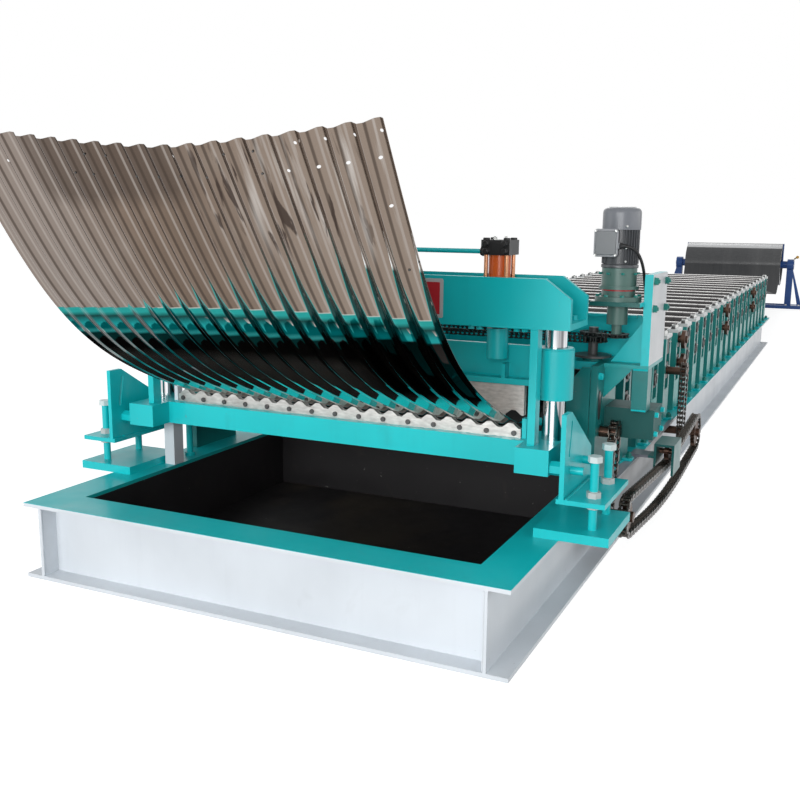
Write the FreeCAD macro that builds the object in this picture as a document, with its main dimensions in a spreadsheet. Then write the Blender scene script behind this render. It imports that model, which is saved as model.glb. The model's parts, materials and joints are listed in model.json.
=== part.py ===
import FreeCAD, Part
import math
import os
import Sketcher

# Roll forming line for corrugated sheet, with a hydraulic shear and a crimp curving unit
# at its exit end and a decoiler at its infeed end.
# Frame: X to the right seen from the exit end, Y along the line towards the decoiler,
# Z up. The origin is on the floor, under the middle of the front cross beam.
# All lengths are in millimetres.

SIZES = {
    # base frame
    "base_half_width": 920,
    "base_height": 280,
    "flange_width": 147,
    "flange_thick": 14,
    "web_thick": 10,
    "front_depth": 154,
    "rear_margin": 164,
    "pit_length": 1346,
    "cross_gap": 20,
    "cross_width": 100,
    "cross_height": 180,
    "cross_thick": 8,
    "cross_pitch": 1010,
    "tray_thick": 4,
    # corrugation
    "wave_pitch": 76.2,
    "wave_depth": 17,
    "wave_count": 19,
    "pass_height": 597,
    "strip_thick": 2,
    # shear stand
    "plate_length": 314,
    "plate_width": 247,
    "plate_thick": 31,
    "plate_front": 467,
    "bracket_gap": 91,
    "bracket_thick": 16,
    "bracket_length": 340,
    "bracket_top": 693,
    "bracket_face": 931,
    "bracket_reach": 134,
    "stud_radius": 14,
    "stud_inset": 54,
    "stud_front": 70,
    "stud_rear": 52,
    "stud_top": 536,
    "nut_radius": 24,
    "nut_thick": 20,
    "cheek_run": 66,
    "cheek_back": 106,
    "screw_front": 30,
    "screw_spacing": 160,
    "screw_rise": 24,
    "screw_reach": 44,
    "stop_inset": 4,
    "stop_width": 16,
    "stop_depth": 30,
    "stop_height": 69,
    "support_x": 830,
    "support_y": 845,
    "support_radius": 14,
    "support_foot": 22,
    "beam_front": 613,
    "beam_depth": 175,
    "beam_bottom": 474,
    "beam_top": 561,
    "beam_half": 748,
    "block_front": 513,
    "block_width": 116,
    "blade_ledge": 34,
    "blade_thick": 22,
    "blade_height": 40,
    "bolt_pitch": 100,
    "bolt_hole": 12,
    "column_x": 824,
    "column_y": 690,
    "column_radius": 38,
    "bar_width": 26,
    "bar_depth": 46,
    "bar_outer": 801,
    "portal_bottom": 946,
    "portal_top": 1109,
    "portal_half": 902,
    "portal_front": 568,
    "portal_depth": 222,
    "portal_plate": 20,
    "chamfer_x": 87,
    "chamfer_z": 63,
    # shear ram
    "ram_thick": 20,
    "ram_bottom": 738,
    "ram_ledge": 46,
    "rib_thick": 12,
    "rib_height": 50,
    "sleeve_radius": 63,
    "sleeve_bottom": 702,
    "sleeve_top": 870,
    "column_fit": 0.05,
    "blade_gap": 5,
    "upper_blade_thick": 24,
    "upper_blade_bottom": 634,
    # hydraulic cylinders
    "cylinder_x": 616,
    "barrel_radius": 38,
    "cap_size": 100,
    "cap_thick": 50,
    "cylinder_top": 1228,
    "tie_radius": 7,
    "rod_radius": 20,
    "nose_radius": 37,
    "nose_bottom": 826,
    "nose_top": 930,
    "pipe_radius": 8,
    "pipe_drop": 40,
    # crimp curving unit
    "curver_front": 960,
    "curver_length": 300,
    "curver_inset": 15,
    "curver_plate": 25,
    "curver_top": 780,
    "slot_length": 120,
    "slot_radius": 19,
    "crimp_radius": 70,
    "crimp_pitch": 150,
    "roll_gap": 1,
    "shelf_thick": 14,
    "shelf_reach": 161,
    "shelf_front": 1050,
    "shelf_length": 276,
    "shelf_web_height": 116,
    "column_thick": 30,
    "column_rise": 327,
    "gusset_reach": 121,
    "gusset_rise": 165,
    "motor_offset": 33,
    "motor_y": 1075,
    "motor_radius": 68,
    "motor_top": 1342,
    "cowl_bottom": 1258,
    "body_bottom": 1128,
    "reducer_bottom": 1052,
    "mount_height": 1010,
    "hub_bottom": 924,
    "fin_count": 26,
    "fin_depth": 9,
    "sprocket_radius": 46,
    "motor_sprocket_radius": 40,
    "sprocket_height": 852,
    "sprocket_thick": 12,
    "sprocket_spacing": 22,
    "small_chain_half": 6,
    "screw_inset": 59,
    "screw_radius": 18,
    "screw_disc": 70,
    "post_width": 56,
    "post_depth": 70,
    "gear_box_top": 612,
    "gear_box_bottom": 500,
    "gear_box_reach": 183,
    "gear_box_front": 1090,
    "gear_box_length": 160,
    # forming stations
    "station_first": 1634,
    "station_pitch": 322,
    "station_count": 22,
    "housing_inset": 72,
    "housing_thick": 50,
    "housing_length": 150,
    "housing_top": 704,
    "window_length": 84,
    "window_bottom": 440,
    "cap_plate": 18,
    "roller_radius": 62,
    "shaft_radius": 26,
    "shaft_proud": 6,
    "roller_half": 735,
    "block_height": 84,
    # side drive
    "chain_offset": 110,
    "chain_width": 40,
    "chain_half": 12,
    "lift_offset": 40,
    "lift_width": 32,
    "lift_radius": 38,
    "lift_half": 10,
    "front_drive_y": 985,
    "front_drive_z": 231,
    "front_drive_radius": 70,
    "rear_drive_z": 225,
    "rear_drive_radius": 86,
    "rear_drive_station": 3,
    "drive_shaft_radius": 20,
    "idler_y": 1800,
    "idler_z": 297,
    "idler_radius": 50,
    "idler_pin": 12,
    "guard_length": 180,
    "guard_top": 345,
    "guard_height": 135,
    "guard_half": 43,
    "guard_thick": 10,
    "slack_radius": 5000,
    "slack_y": 1850,
    "slack_z": 100,
    "gear_radius": 50,
    "gear_thick": 20,
    # motor lead
    "lead_radius": 5.5,
    "lead_gland": 10,
    "lead_gland_height": 12,
    # strip and coil
    "strip_half": 690,
    "coil_y": 13300,
    "coil_height": 650,
    "coil_radius": 312,
    "coil_bore": 254,
    "mandrel_radius": 55,
    "loop_height": 250,
    "loop_crest": 3000,
    "decoiler_half": 770,
    "decoiler_tube": 60,
    "post_tube": 90,
    "foot_spread": 170,
    "foot_reach": 240,
    "foot_thick": 50,
    "head_radius": 85,
    "brace_width": 60,
    "brace_drop": 90,
    "keeper_thick": 16,
    "keeper_width": 60,
    # curved panel held in the shear
    "panel_tail": 664,
    "panel_half": 704.85,
    "rest_gap": 0.3,
    "panel_slope": 21,
    "panel_tip_slope": 51.5,
    "panel_radius": 1400,
    "panel_lower_run": 100,
    "panel_upper_run": 575,
}

doc = FreeCAD.newDocument("RollFormingMachine")
sheet = doc.addObject("Spreadsheet::Sheet", "Sizes")
for row, (alias, number) in enumerate(SIZES.items(), start=1):
    sheet.set("A%d" % row, alias.replace("_", " "))
    sheet.set("B%d" % row, str(number))
    sheet.setAlias("B%d" % row, alias)
doc.recompute()


class Size:
    """A length that keeps its spreadsheet expression beside its value."""

    def __init__(self, value, text=None):
        self.value = float(value)
        self.text = text if text is not None else repr(float(value))

    def __float__(self):
        return self.value

    def __add__(self, other):
        other = size(other)
        return Size(self.value + other.value, "(%s + %s)" % (self.text, other.text))

    def __sub__(self, other):
        other = size(other)
        return Size(self.value - other.value, "(%s - %s)" % (self.text, other.text))

    def __mul__(self, other):
        other = size(other)
        return Size(self.value * other.value, "(%s * %s)" % (self.text, other.text))

    def __truediv__(self, other):
        other = size(other)
        return Size(self.value / other.value, "(%s / %s)" % (self.text, other.text))

    def __radd__(self, other):
        return size(other) + self

    def __rsub__(self, other):
        return size(other) - self

    def __rmul__(self, other):
        return size(other) * self

    def __neg__(self):
        return Size(-self.value, "(0 - %s)" % self.text)


def size(value):
    """Take a number or a Size as a Size."""
    return value if isinstance(value, Size) else Size(value)


class Sheet:
    """Reads each alias of the spreadsheet as a Size."""

    def __getattr__(self, alias):
        return Size(sheet.get(alias), "Sizes." + alias)


s = Sheet()
V = FreeCAD.Vector
nodes = []


def bind(obj, name, value):
    """Set a property to a size and tie it to the spreadsheet."""
    obj.setExpression(name, size(value).text)


def place(obj, x=0, y=0, z=0):
    """Tie an object's place to the spreadsheet."""
    for axis, value in zip("xyz", (x, y, z)):
        if isinstance(value, Size) or value != 0:
            bind(obj, "Placement.Base." + axis, value)


def label(obj, name):
    """Name a finished sub-part and list it for export."""
    obj.Label = name
    nodes.append(obj)
    return obj


def box(name, x, y, z, length, depth, height):
    """A plate or bar from its lowest corner and its three lengths."""
    piece = doc.addObject("Part::Box", name)
    for prop, value in (("Length", length), ("Width", depth), ("Height", height)):
        bind(piece, prop, value)
    place(piece, x, y, z)
    return piece


def cylinder(name, x, y, z, radius, length, axis="z"):
    """A round bar that starts at x, y, z and runs along one axis."""
    piece = doc.addObject("Part::Cylinder", name)
    bind(piece, "Radius", radius)
    bind(piece, "Height", length)
    turn = {"x": (V(0, 1, 0), 90), "y": (V(1, 0, 0), -90), "z": (V(0, 0, 1), 0)}[axis]
    piece.Placement = FreeCAD.Placement(V(0, 0, 0), FreeCAD.Rotation(*turn))
    place(piece, x, y, z)
    return piece


def hexagon(name, x, y, z, radius, length, axis="z"):
    """A hexagon nut or bolt head."""
    piece = doc.addObject("Part::Prism", name)
    piece.Polygon = 6
    bind(piece, "Circumradius", radius)
    bind(piece, "Height", length)
    turn = {"x": (V(0, 1, 0), 90), "y": (V(1, 0, 0), -90), "z": (V(0, 0, 1), 0)}[axis]
    piece.Placement = FreeCAD.Placement(V(0, 0, 0), FreeCAD.Rotation(*turn))
    place(piece, x, y, z)
    return piece


def group(name, pieces):
    """Pieces that share a node and don't touch."""
    whole = doc.addObject("Part::Compound", name + "_group")
    whole.Links = pieces
    return label(whole, name)


def fuse(name, pieces):
    """One solid from several."""
    whole = doc.addObject("Part::MultiFuse", name)
    whole.Shapes = pieces
    whole.Refine = True
    return whole


def cut(name, base, tool):
    """A solid with a tool taken away."""
    whole = doc.addObject("Part::Cut", name)
    whole.Base = base
    whole.Tool = tool
    return whole


def turned(name, x, y, rings):
    """A stack of round steps from bottom to top: radius, low and high."""
    steps = [
        cylinder("%s_%d" % (name, i), x, y, low, radius, high - low)
        for i, (radius, low, high) in enumerate(rings)
    ]
    return fuse(name, steps)


def mirror(name, source):
    """The same piece on the other side of the machine's centre plane."""
    other = doc.addObject("Part::Mirroring", name)
    other.Source = source
    other.Normal = V(1, 0, 0)
    return other


def pair(name, source):
    """A right-hand piece and its mirror image as one node."""
    return group(name, [source, mirror(name + "_left", source)])


PLANES = {"XY": "XY_Plane", "XZ": "XZ_Plane", "YZ": "YZ_Plane"}


def profile(name, plane, loops, length, back=False, middle=False):
    """Pad a closed outline, with the loops after the first as openings.

    The outline's points are tied to the spreadsheet. On XZ the pad runs along +Y,
    on YZ along +X and on XY along +Z, unless back is set.
    """
    body = doc.addObject("PartDesign::Body", name)
    sketch = body.newObject("Sketcher::SketchObject", name + "_outline")
    base = [f for f in body.Origin.OriginFeatures if f.Role == PLANES[plane]][0]
    sketch.AttachmentSupport = [(base, "")]
    sketch.MapMode = "FlatFace"
    for loop in loops:
        first = sketch.GeometryCount
        count = len(loop)
        for i in range(count):
            a = loop[i]
            b = loop[(i + 1) % count]
            start = V(float(size(a[0])), float(size(a[1])), 0)
            end = V(float(size(b[0])), float(size(b[1])), 0)
            sketch.addGeometry(Part.LineSegment(start, end), False)
        for i in range(count):
            after = first + (i + 1) % count
            sketch.addConstraint(Sketcher.Constraint("Coincident", first + i, 2, after, 1))
        for i, point in enumerate(loop):
            for kind, value in zip(("DistanceX", "DistanceY"), point):
                value = size(value)
                made = sketch.addConstraint(
                    Sketcher.Constraint(kind, -1, 1, first + i, 1, value.value)
                )
                sketch.setExpression("Constraints[%d]" % made, value.text)
    pad = body.newObject("PartDesign::Pad", name + "_pad")
    pad.Profile = sketch
    bind(pad, "Length", length)
    pad.Midplane = middle
    pad.Reversed = (plane == "XZ") != back
    body.Tip = pad
    return body


def feature(name, shape):
    """A piece whose shape is worked out by this source."""
    piece = doc.addObject("Part::Feature", name)
    piece.Shape = shape
    return piece


def i_outline(half, height, thick, web):
    """The outline of an I beam that stands on z = 0, centred on x = 0."""
    w = web / 2
    return [
        (-half, 0), (half, 0), (half, thick), (w, thick), (w, height - thick),
        (half, height - thick), (half, height), (-half, height), (-half, height - thick),
        (-w, height - thick), (-w, thick), (-half, thick),
    ]


def toothed(radius, bore, teeth, thick):
    """A sprocket that lies on the XY plane and rises along Z, with a round bore."""
    root = radius * 0.86
    points = []
    for i in range(teeth):
        for share, reach in ((-0.28, root), (-0.1, radius), (0.1, radius), (0.28, root)):
            turn = 2 * math.pi * (i + share) / teeth
            points.append(V(reach * math.cos(turn), reach * math.sin(turn), 0))
    wheel = Part.Face(Part.makePolygon(points + points[:1])).extrude(V(0, 0, thick))
    if bore:
        wheel = wheel.cut(Part.makeCylinder(bore, thick + 2, V(0, 0, -1)))
    return wheel


def loop_wire(circles):
    """The closed line that a chain follows: tangents between circles, and arcs about them.

    A circle is its two centre coordinates and its radius. The line keeps each circle on
    its left, and one with a negative radius on its right.
    """
    headings = []
    for i, (u, v, radius) in enumerate(circles):
        after = circles[(i + 1) % len(circles)]
        span = math.hypot(after[0] - u, after[1] - v)
        line = math.atan2(after[1] - v, after[0] - u)
        headings.append(line - math.asin((after[2] - radius) / span))
    arcs = []
    for i, (u, v, radius) in enumerate(circles):
        turn = (headings[i] - headings[i - 1]) % (2 * math.pi)
        if radius < 0:
            turn -= 2 * math.pi
        along = [headings[i - 1] + turn * share for share in (0, 0.5, 1)]
        arcs.append(
            Part.Arc(*[V(u + radius * math.sin(t), v - radius * math.cos(t), 0) for t in along])
        )
    edges = []
    for i, arc in enumerate(arcs):
        after = arcs[(i + 1) % len(arcs)]
        edges.append(arc.toShape())
        edges.append(Part.LineSegment(arc.EndPoint, after.StartPoint).toShape())
    return Part.Wire(edges)


def chain_band(circles, half, width):
    """A chain as one closed band of even thickness, lying on XY and rising along Z."""
    outer = loop_wire([(u, v, radius + half) for u, v, radius in circles])
    inner = loop_wire([(u, v, radius - half) for u, v, radius in circles])
    band = Part.Face(outer).extrude(V(0, 0, width))
    return band.cut(Part.Face(inner).extrude(V(0, 0, width)))


def across(shape, x):
    """Turn a shape from the XY plane into the YZ plane, so that it starts at x and runs on."""
    turned_shape = shape.copy()
    turned_shape.Placement = FreeCAD.Placement(
        V(x, 0, 0), FreeCAD.Rotation(V(0, 1, 0), V(0, 0, 1), V(1, 0, 0), "XYZ")
    )
    return turned_shape


def wave_points(half_waves, depth, height, start):
    """Trapezoid wave from start along +X, as points in the XZ plane."""
    pitch = float(s.wave_pitch)
    points = []
    for i in range(half_waves):
        x = start + i * pitch / 2
        z = height + (depth / 2 if i % 2 else -depth / 2)
        points.append(V(x - pitch * 0.11, 0, z))
        points.append(V(x + pitch * 0.11, 0, z))
    return points


# base frame

web_x = s.base_half_width - s.flange_width / 2
pit_half = s.base_half_width - s.flange_width
base_length = s.station_first + s.station_pitch * (s.station_count - 1) + s.rear_margin
guard_x = s.base_half_width + s.chain_offset

beam = profile(
    "base_beam", "XZ",
    [i_outline(s.flange_width / 2, s.base_height, s.flange_thick, s.web_thick)],
    base_length,
)
place(beam, web_x)
label(mirror("base_beam_mirror", beam), "base_beam_left")

# the guard over the idler of the side chain is welded to the right-hand beam
guard_start = s.idler_y - s.guard_length / 2
guard_sides = [
    box(
        "guard_side_%d" % i, x, guard_start, s.guard_top - s.guard_height,
        s.guard_thick, s.guard_length, s.guard_height,
    )
    for i, x in enumerate((guard_x - s.guard_half, guard_x + s.guard_half - s.guard_thick))
]
guard_roof = box(
    "guard_roof", guard_x - s.guard_half, guard_start, s.guard_top - s.guard_thick,
    s.guard_half * 2, s.guard_length, s.guard_thick,
)
guard_arm = box(
    "guard_arm", s.base_half_width - s.flange_width / 4, guard_start, s.base_height,
    guard_x - s.guard_half - s.base_half_width + s.flange_width / 4,
    s.guard_length / 2, s.guard_thick,
)
guard = guard_sides + [guard_roof, guard_arm]
label(fuse("base_beam_with_guard", [beam] + guard), "base_beam_right")


def end_beam(name, y, web_y):
    """An I beam across one end of the frame, its flanges between those of the side beams."""
    web = box(
        name + "_web", s.web_thick / 2 - web_x, web_y, s.flange_thick,
        (web_x - s.web_thick / 2) * 2, s.web_thick, s.base_height - s.flange_thick * 2,
    )
    flanges = [
        box("%s_flange_%d" % (name, i), -pit_half, y, z, pit_half * 2, s.front_depth, s.flange_thick)
        for i, z in enumerate((0, s.base_height - s.flange_thick))
    ]
    return fuse(name, [web] + flanges)


web_inset = (s.front_depth - s.web_thick) / 2
label(end_beam("front_beam", 0, web_inset), "base_cross_front")

inner_web = web_x - s.web_thick / 2
first_cross = s.front_depth + s.pit_length + s.cross_gap
rear_y = base_length - s.front_depth
cross_room = float(rear_y - first_cross - s.cross_width)
crosses = []
for i in range(int(cross_room / float(s.cross_pitch)) + 1):
    cross = profile(
        "cross_%d" % i, "YZ",
        [i_outline(s.cross_width / 2, s.cross_height, s.cross_thick, s.cross_thick)],
        inner_web * 2,
    )
    place(cross, -inner_web, first_cross + s.cross_width / 2 + s.cross_pitch * i, s.flange_thick)
    crosses.append(cross)
rear_beam = end_beam("rear_beam", rear_y, rear_y + web_inset)
group("base_cross_members", crosses + [rear_beam])

tray_floor = box(
    "tray_floor", -pit_half, s.front_depth, 0, pit_half * 2, s.pit_length, s.tray_thick,
)
tray_height = s.base_height - s.flange_thick
tray_walls = [
    box("tray_wall_%d" % i, x, s.front_depth, 0, s.tray_thick, s.pit_length, tray_height)
    for i, x in enumerate((-pit_half, pit_half - s.tray_thick))
]
tray_ends = [
    box("tray_end_%d" % i, -pit_half, y, 0, pit_half * 2, s.tray_thick, tray_height)
    for i, y in enumerate((s.front_depth, s.front_depth + s.pit_length - s.tray_thick))
]
label(fuse("tray_welded", [tray_floor] + tray_walls + tray_ends), "drip_tray")

# shear stand

plate_x = s.base_half_width - 85
plates = box(
    "stand_plate", plate_x, s.plate_front, s.base_height, s.plate_width, s.plate_length, s.plate_thick,
)
pair("stand_base_plates", plates)

plate_top = s.base_height + s.plate_thick
bracket_bottom = plate_top + s.bracket_gap
bracket_floor = bracket_bottom + s.bracket_thick
stud_x = s.bracket_face + s.bracket_reach - s.stud_inset
bracket_foot = box(
    "bracket_foot", s.bracket_face - 25, s.plate_front, bracket_bottom,
    s.bracket_reach + 25, s.bracket_length, s.bracket_thick,
)
slot_y = s.plate_front + 44
slot_low = s.beam_top - 14
slot_high = s.bracket_top - 30
cheek = profile(
    "bracket_cheek", "YZ",
    [
        [
            (s.plate_front, bracket_floor),
            (s.plate_front + s.bracket_length, bracket_floor),
            (s.plate_front + s.bracket_length, bracket_floor + s.cheek_back),
            (s.plate_front + s.cheek_run, s.bracket_top),
            (s.plate_front, s.bracket_top),
        ],
        [
            (slot_y, slot_low), (slot_y + 12, slot_low),
            (slot_y + 34, slot_high), (slot_y + 22, slot_high),
        ],
    ],
    s.bracket_thick,
)
place(cheek, s.bracket_face - s.bracket_thick)
bracket = fuse("shear_bracket", [bracket_foot, cheek])
stud_rows = [s.plate_front + s.stud_front, s.plate_front + s.plate_length - s.stud_rear]
stud_holes = [
    cylinder(
        "stud_hole_%d" % i, stud_x, y, bracket_bottom - 1,
        s.stud_radius + s.rest_gap, s.bracket_thick + 2,
    )
    for i, y in enumerate(stud_rows)
]
drilled = cut("bracket_drilled", bracket, fuse("stud_holes", stud_holes))
label(drilled, "shear_bracket_right")
label(mirror("bracket_mirror", drilled), "shear_bracket_left")

studs = []
for i, y in enumerate(stud_rows):
    shank = cylinder("stud_%d" % i, stud_x, y, plate_top, s.stud_radius, s.stud_top - plate_top)
    head = hexagon("stud_head_%d" % i, stud_x, y, s.stud_top, s.nut_radius, s.nut_thick)
    nut = hexagon("stud_nut_%d" % i, stud_x, y, bracket_floor, s.nut_radius, s.nut_thick)
    low = hexagon(
        "stud_low_%d" % i, stud_x, y, bracket_bottom - s.nut_thick, s.nut_radius, s.nut_thick,
    )
    studs.append(fuse("stud_set_%d" % i, [shank, head, nut, low]))
group("levelling_studs", studs + [mirror("stud_left_%d" % i, p) for i, p in enumerate(studs)])

blade_y = s.beam_front + s.blade_ledge
block = box(
    "end_block", s.beam_half, s.block_front, s.beam_bottom,
    s.block_width, s.beam_front + s.beam_depth - s.block_front, s.beam_top - s.beam_bottom,
)
stop = box(
    "blade_stop", s.beam_half - s.stop_inset - s.stop_width, blade_y, s.beam_top,
    s.stop_width, s.stop_depth, s.stop_height,
)
group(
    "beam_end_blocks",
    [block, mirror("end_block_left", block), stop, mirror("blade_stop_left", stop)],
)

screw_gap = s.bracket_face - s.bracket_thick - (s.beam_half + s.block_width)
screws = []
for i in range(2):
    y = s.block_front + s.screw_front + s.screw_spacing * i
    z = s.beam_bottom + s.screw_rise
    inner = hexagon(
        "set_nut_%d" % i, s.beam_half + s.block_width, y, z, s.nut_radius, screw_gap, "x",
    )
    outer = cylinder("set_screw_%d" % i, s.bracket_face, y, z, s.stud_radius, s.screw_reach, "x")
    screws += [inner, outer]
group("set_screws", screws + [mirror("set_left_%d" % i, p) for i, p in enumerate(screws)])

lower_beam = box(
    "lower_beam_bar", -s.beam_half, s.beam_front, s.beam_bottom,
    s.beam_half * 2, s.beam_depth, s.beam_top - s.beam_bottom,
)
label(lower_beam, "lower_blade_beam")

blade_half = s.wave_pitch * s.wave_count / 2


def blade_shape(front, thick, level, flat):
    """A blade with one straight edge and one waved edge, between two heights."""
    crests = int(float(s.wave_count))
    half = float(blade_half)
    start = -float(s.wave_pitch) * (crests - 1) / 2 - float(s.wave_pitch) / 2
    line = wave_points(2 * crests + 1, float(s.wave_depth), level, start)
    line = [V(min(max(p.x, -half), half), 0, p.z) for p in line]
    outline = [V(-half, 0, flat)] + line + [V(half, 0, flat)]
    wire = Part.makePolygon(outline + outline[:1])
    shape = Part.Face(wire).extrude(V(0, thick, 0))
    shape.translate(V(0, front, 0))
    return shape


lower_level = float(s.beam_top + s.blade_height)
lower_solid = blade_shape(float(blade_y), float(s.blade_thick), lower_level, float(s.beam_top))
hole_z = float(s.beam_top + s.blade_height / 2) - 5
hole_count = 15
for i in range(hole_count):
    x = (i - (hole_count - 1) / 2) * float(s.bolt_pitch)
    hole = Part.makeCylinder(
        float(s.bolt_hole) / 2, float(s.blade_thick) + 2, V(x, float(blade_y) - 1, hole_z), V(0, 1, 0)
    )
    lower_solid = lower_solid.cut(hole)
label(feature("lower_blade_solid", lower_solid), "lower_blade")

column = cylinder(
    "column", s.column_x, s.column_y, s.beam_top, s.column_radius, s.portal_bottom - s.beam_top,
)
pair("guide_columns", column)

side_bar = box(
    "side_bar", s.bar_outer - s.bar_width, s.beam_front - 57, s.beam_top,
    s.bar_width, s.bar_depth, s.portal_bottom - s.beam_top,
)
pair("side_bars", side_bar)

legs = [
    cylinder(
        "support_leg", s.support_x, s.support_y, s.base_height, s.support_radius,
        s.pass_height - s.rest_gap - s.support_radius - s.base_height,
    ),
    cylinder(
        "support_foot", s.support_x, s.support_y, s.base_height, s.support_foot, s.flange_thick,
    ),
]
rail = cylinder(
    "support_rail", -s.support_x, s.support_y, s.pass_height - s.rest_gap - s.support_radius,
    s.support_radius, s.support_x * 2, "x",
)
support = legs + [mirror("%s_left" % leg.Name, leg) for leg in legs] + [rail]
label(fuse("support_welded", support), "sheet_support")

portal_outline = [
    (-s.portal_half, s.portal_bottom), (s.portal_half, s.portal_bottom),
    (s.portal_half, s.portal_top - s.chamfer_z),
    (s.portal_half - s.chamfer_x, s.portal_top),
    (s.chamfer_x - s.portal_half, s.portal_top),
    (-s.portal_half, s.portal_top - s.chamfer_z),
]
front_plate = profile("portal_front_plate", "XZ", [portal_outline], s.portal_plate)
place(front_plate, 0, s.portal_front)
label(front_plate, "top_beam_front_plate")
rear_plate = profile("portal_rear_plate", "XZ", [portal_outline], s.portal_plate)
place(rear_plate, 0, s.portal_front + s.portal_depth - s.portal_plate)
label(rear_plate, "top_beam_rear_plate")
floor_depth = s.portal_depth - s.portal_plate * 2
floor = box(
    "portal_floor", -s.portal_half, s.portal_front + s.portal_plate, s.portal_bottom,
    s.portal_half * 2, floor_depth, s.portal_plate,
)
rod_hole = cylinder(
    "rod_hole", s.cylinder_x, s.column_y, s.portal_bottom - 1, s.rod_radius + 5, s.portal_plate + 2,
)
rod_holes = fuse("rod_holes", [rod_hole, mirror("rod_hole_left", rod_hole)])
floor_cut = cut("portal_floor_cut", floor, rod_holes)
label(floor_cut, "top_beam_floor")

# hydraulic cylinders

floor_top = s.portal_bottom + s.portal_plate
barrel = cylinder(
    "barrel", s.cylinder_x, s.column_y, floor_top + 24, s.barrel_radius,
    s.cylinder_top - s.cap_thick - floor_top - 24,
)
bore = cylinder(
    "barrel_bore", s.cylinder_x, s.column_y, floor_top + 23, s.rod_radius + 5, 120,
)
pair("cylinder_barrels", cut("barrel_bored", barrel, bore))
cap = box(
    "cylinder_cap", s.cylinder_x - s.cap_size / 2, s.column_y - s.cap_size / 2,
    s.cylinder_top - s.cap_thick, s.cap_size, s.cap_size, s.cap_thick,
)
pair("cylinder_caps", cap)
head_block = box(
    "head_block", s.cylinder_x - s.cap_size / 2, s.column_y - s.cap_size / 2,
    floor_top, s.cap_size, s.cap_size, 24,
)
head_bore = cylinder("head_bore", s.cylinder_x, s.column_y, floor_top - 1, s.rod_radius + 5, 26)
pair("cylinder_heads", cut("head_bored", head_block, head_bore))
ties = []
tie_offset = s.cap_size / 2 - 14
for i, (a, b) in enumerate(((-1, -1), (1, -1), (-1, 1), (1, 1))):
    ties.append(
        cylinder(
            "tie_%d" % i, s.cylinder_x + tie_offset * a, s.column_y + tie_offset * b,
            floor_top + 24, s.tie_radius, s.cylinder_top - s.cap_thick - floor_top - 24,
        )
    )
group("cylinder_tie_rods", ties + [mirror("tie_left_%d" % i, p) for i, p in enumerate(ties)])
pipe = cylinder(
    "pipe", s.cap_size / 2 - s.cylinder_x, s.column_y, s.cylinder_top - s.pipe_drop,
    s.pipe_radius, (s.cylinder_x - s.cap_size / 2) * 2, "x",
)
label(pipe, "hydraulic_pipe")

# shear ram

ram_half = s.column_x - s.sleeve_radius + 14
ram_front = s.column_y + s.nose_radius
ram_plate = box(
    "ram_web", -ram_half, ram_front, s.ram_bottom,
    ram_half * 2, s.ram_thick, s.sleeve_top - s.ram_bottom,
)
ledge = box(
    "ram_shelf", -ram_half + 40, ram_front - s.ram_ledge, s.ram_bottom,
    (ram_half - 40) * 2, s.ram_ledge, s.ram_thick,
)
ribs = []
for i in range(4):
    x = s.column_x * (0.22 + 0.56 * (i % 2)) * (1 if i < 2 else -1)
    ribs.append(
        box(
            "ram_rib_%d" % i, x - s.rib_thick / 2, ram_front - s.ram_ledge,
            s.ram_bottom + s.ram_thick, s.rib_thick, s.ram_ledge, s.rib_height,
        )
    )
sleeve_seat = cylinder(
    "sleeve_seat", s.column_x, s.column_y, s.sleeve_bottom, s.sleeve_radius,
    s.sleeve_top - s.sleeve_bottom,
)
sleeve_seats = fuse("sleeve_seats", [sleeve_seat, mirror("sleeve_seat_left", sleeve_seat)])
ram_whole = fuse("ram_welded", [ram_plate, ledge] + ribs)
label(cut("ram_fitted", ram_whole, sleeve_seats), "ram_plate")

sleeve = cylinder(
    "sleeve_outer", s.column_x, s.column_y, s.sleeve_bottom, s.sleeve_radius,
    s.sleeve_top - s.sleeve_bottom,
)
sleeve_bore = cylinder(
    "sleeve_bore", s.column_x, s.column_y, s.sleeve_bottom - 1, s.column_radius + s.column_fit,
    s.sleeve_top - s.sleeve_bottom + 2,
)
pair("ram_sleeves", cut("sleeve_bored", sleeve, sleeve_bore))

nose = cylinder(
    "nose", s.cylinder_x, s.column_y, s.nose_bottom, s.nose_radius, s.nose_top - s.nose_bottom,
)
rod = cylinder(
    "rod", s.cylinder_x, s.column_y, s.nose_top, s.rod_radius, floor_top + 80 - s.nose_top,
)
pair("cylinder_rods", fuse("rod_and_nose", [nose, rod]))

upper_front = blade_y + s.blade_thick + s.blade_gap
upper_solid = blade_shape(
    float(upper_front), float(s.upper_blade_thick), float(s.upper_blade_bottom + s.wave_depth / 2),
    float(s.ram_bottom),
)
label(feature("upper_blade_solid", upper_solid), "upper_blade")

# crimp curving unit

curver_face = s.base_half_width - s.curver_inset
screw_x = curver_face - s.screw_inset
motor_x = curver_face + s.motor_offset
shelf_outer = curver_face + s.shelf_reach
side_height = s.curver_top - s.base_height
slot_z = s.base_height + side_height * 0.66


def slot_tool(name, y, z):
    """A round-ended slot through a side plate, long way up."""
    length = s.slot_length - s.slot_radius * 2
    start = curver_face - s.curver_plate - 1
    width = s.curver_plate + 2
    ends = [
        cylinder("%s_end_%d" % (name, i), start, y, z + length * k, s.slot_radius, width, "x")
        for i, k in enumerate((-0.5, 0.5))
    ]
    middle = box(
        name + "_middle", start, y - s.slot_radius, z - length / 2, width, s.slot_radius * 2, length,
    )
    return fuse(name, ends + [middle])


side_plate = box(
    "curver_side", curver_face - s.curver_plate, s.curver_front, s.base_height,
    s.curver_plate, s.curver_length, side_height,
)
slotted = cut("curver_side_slotted", side_plate, slot_tool("curver_slot", s.curver_front + 62, slot_z))
pair("curving_side_plates", slotted)

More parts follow.
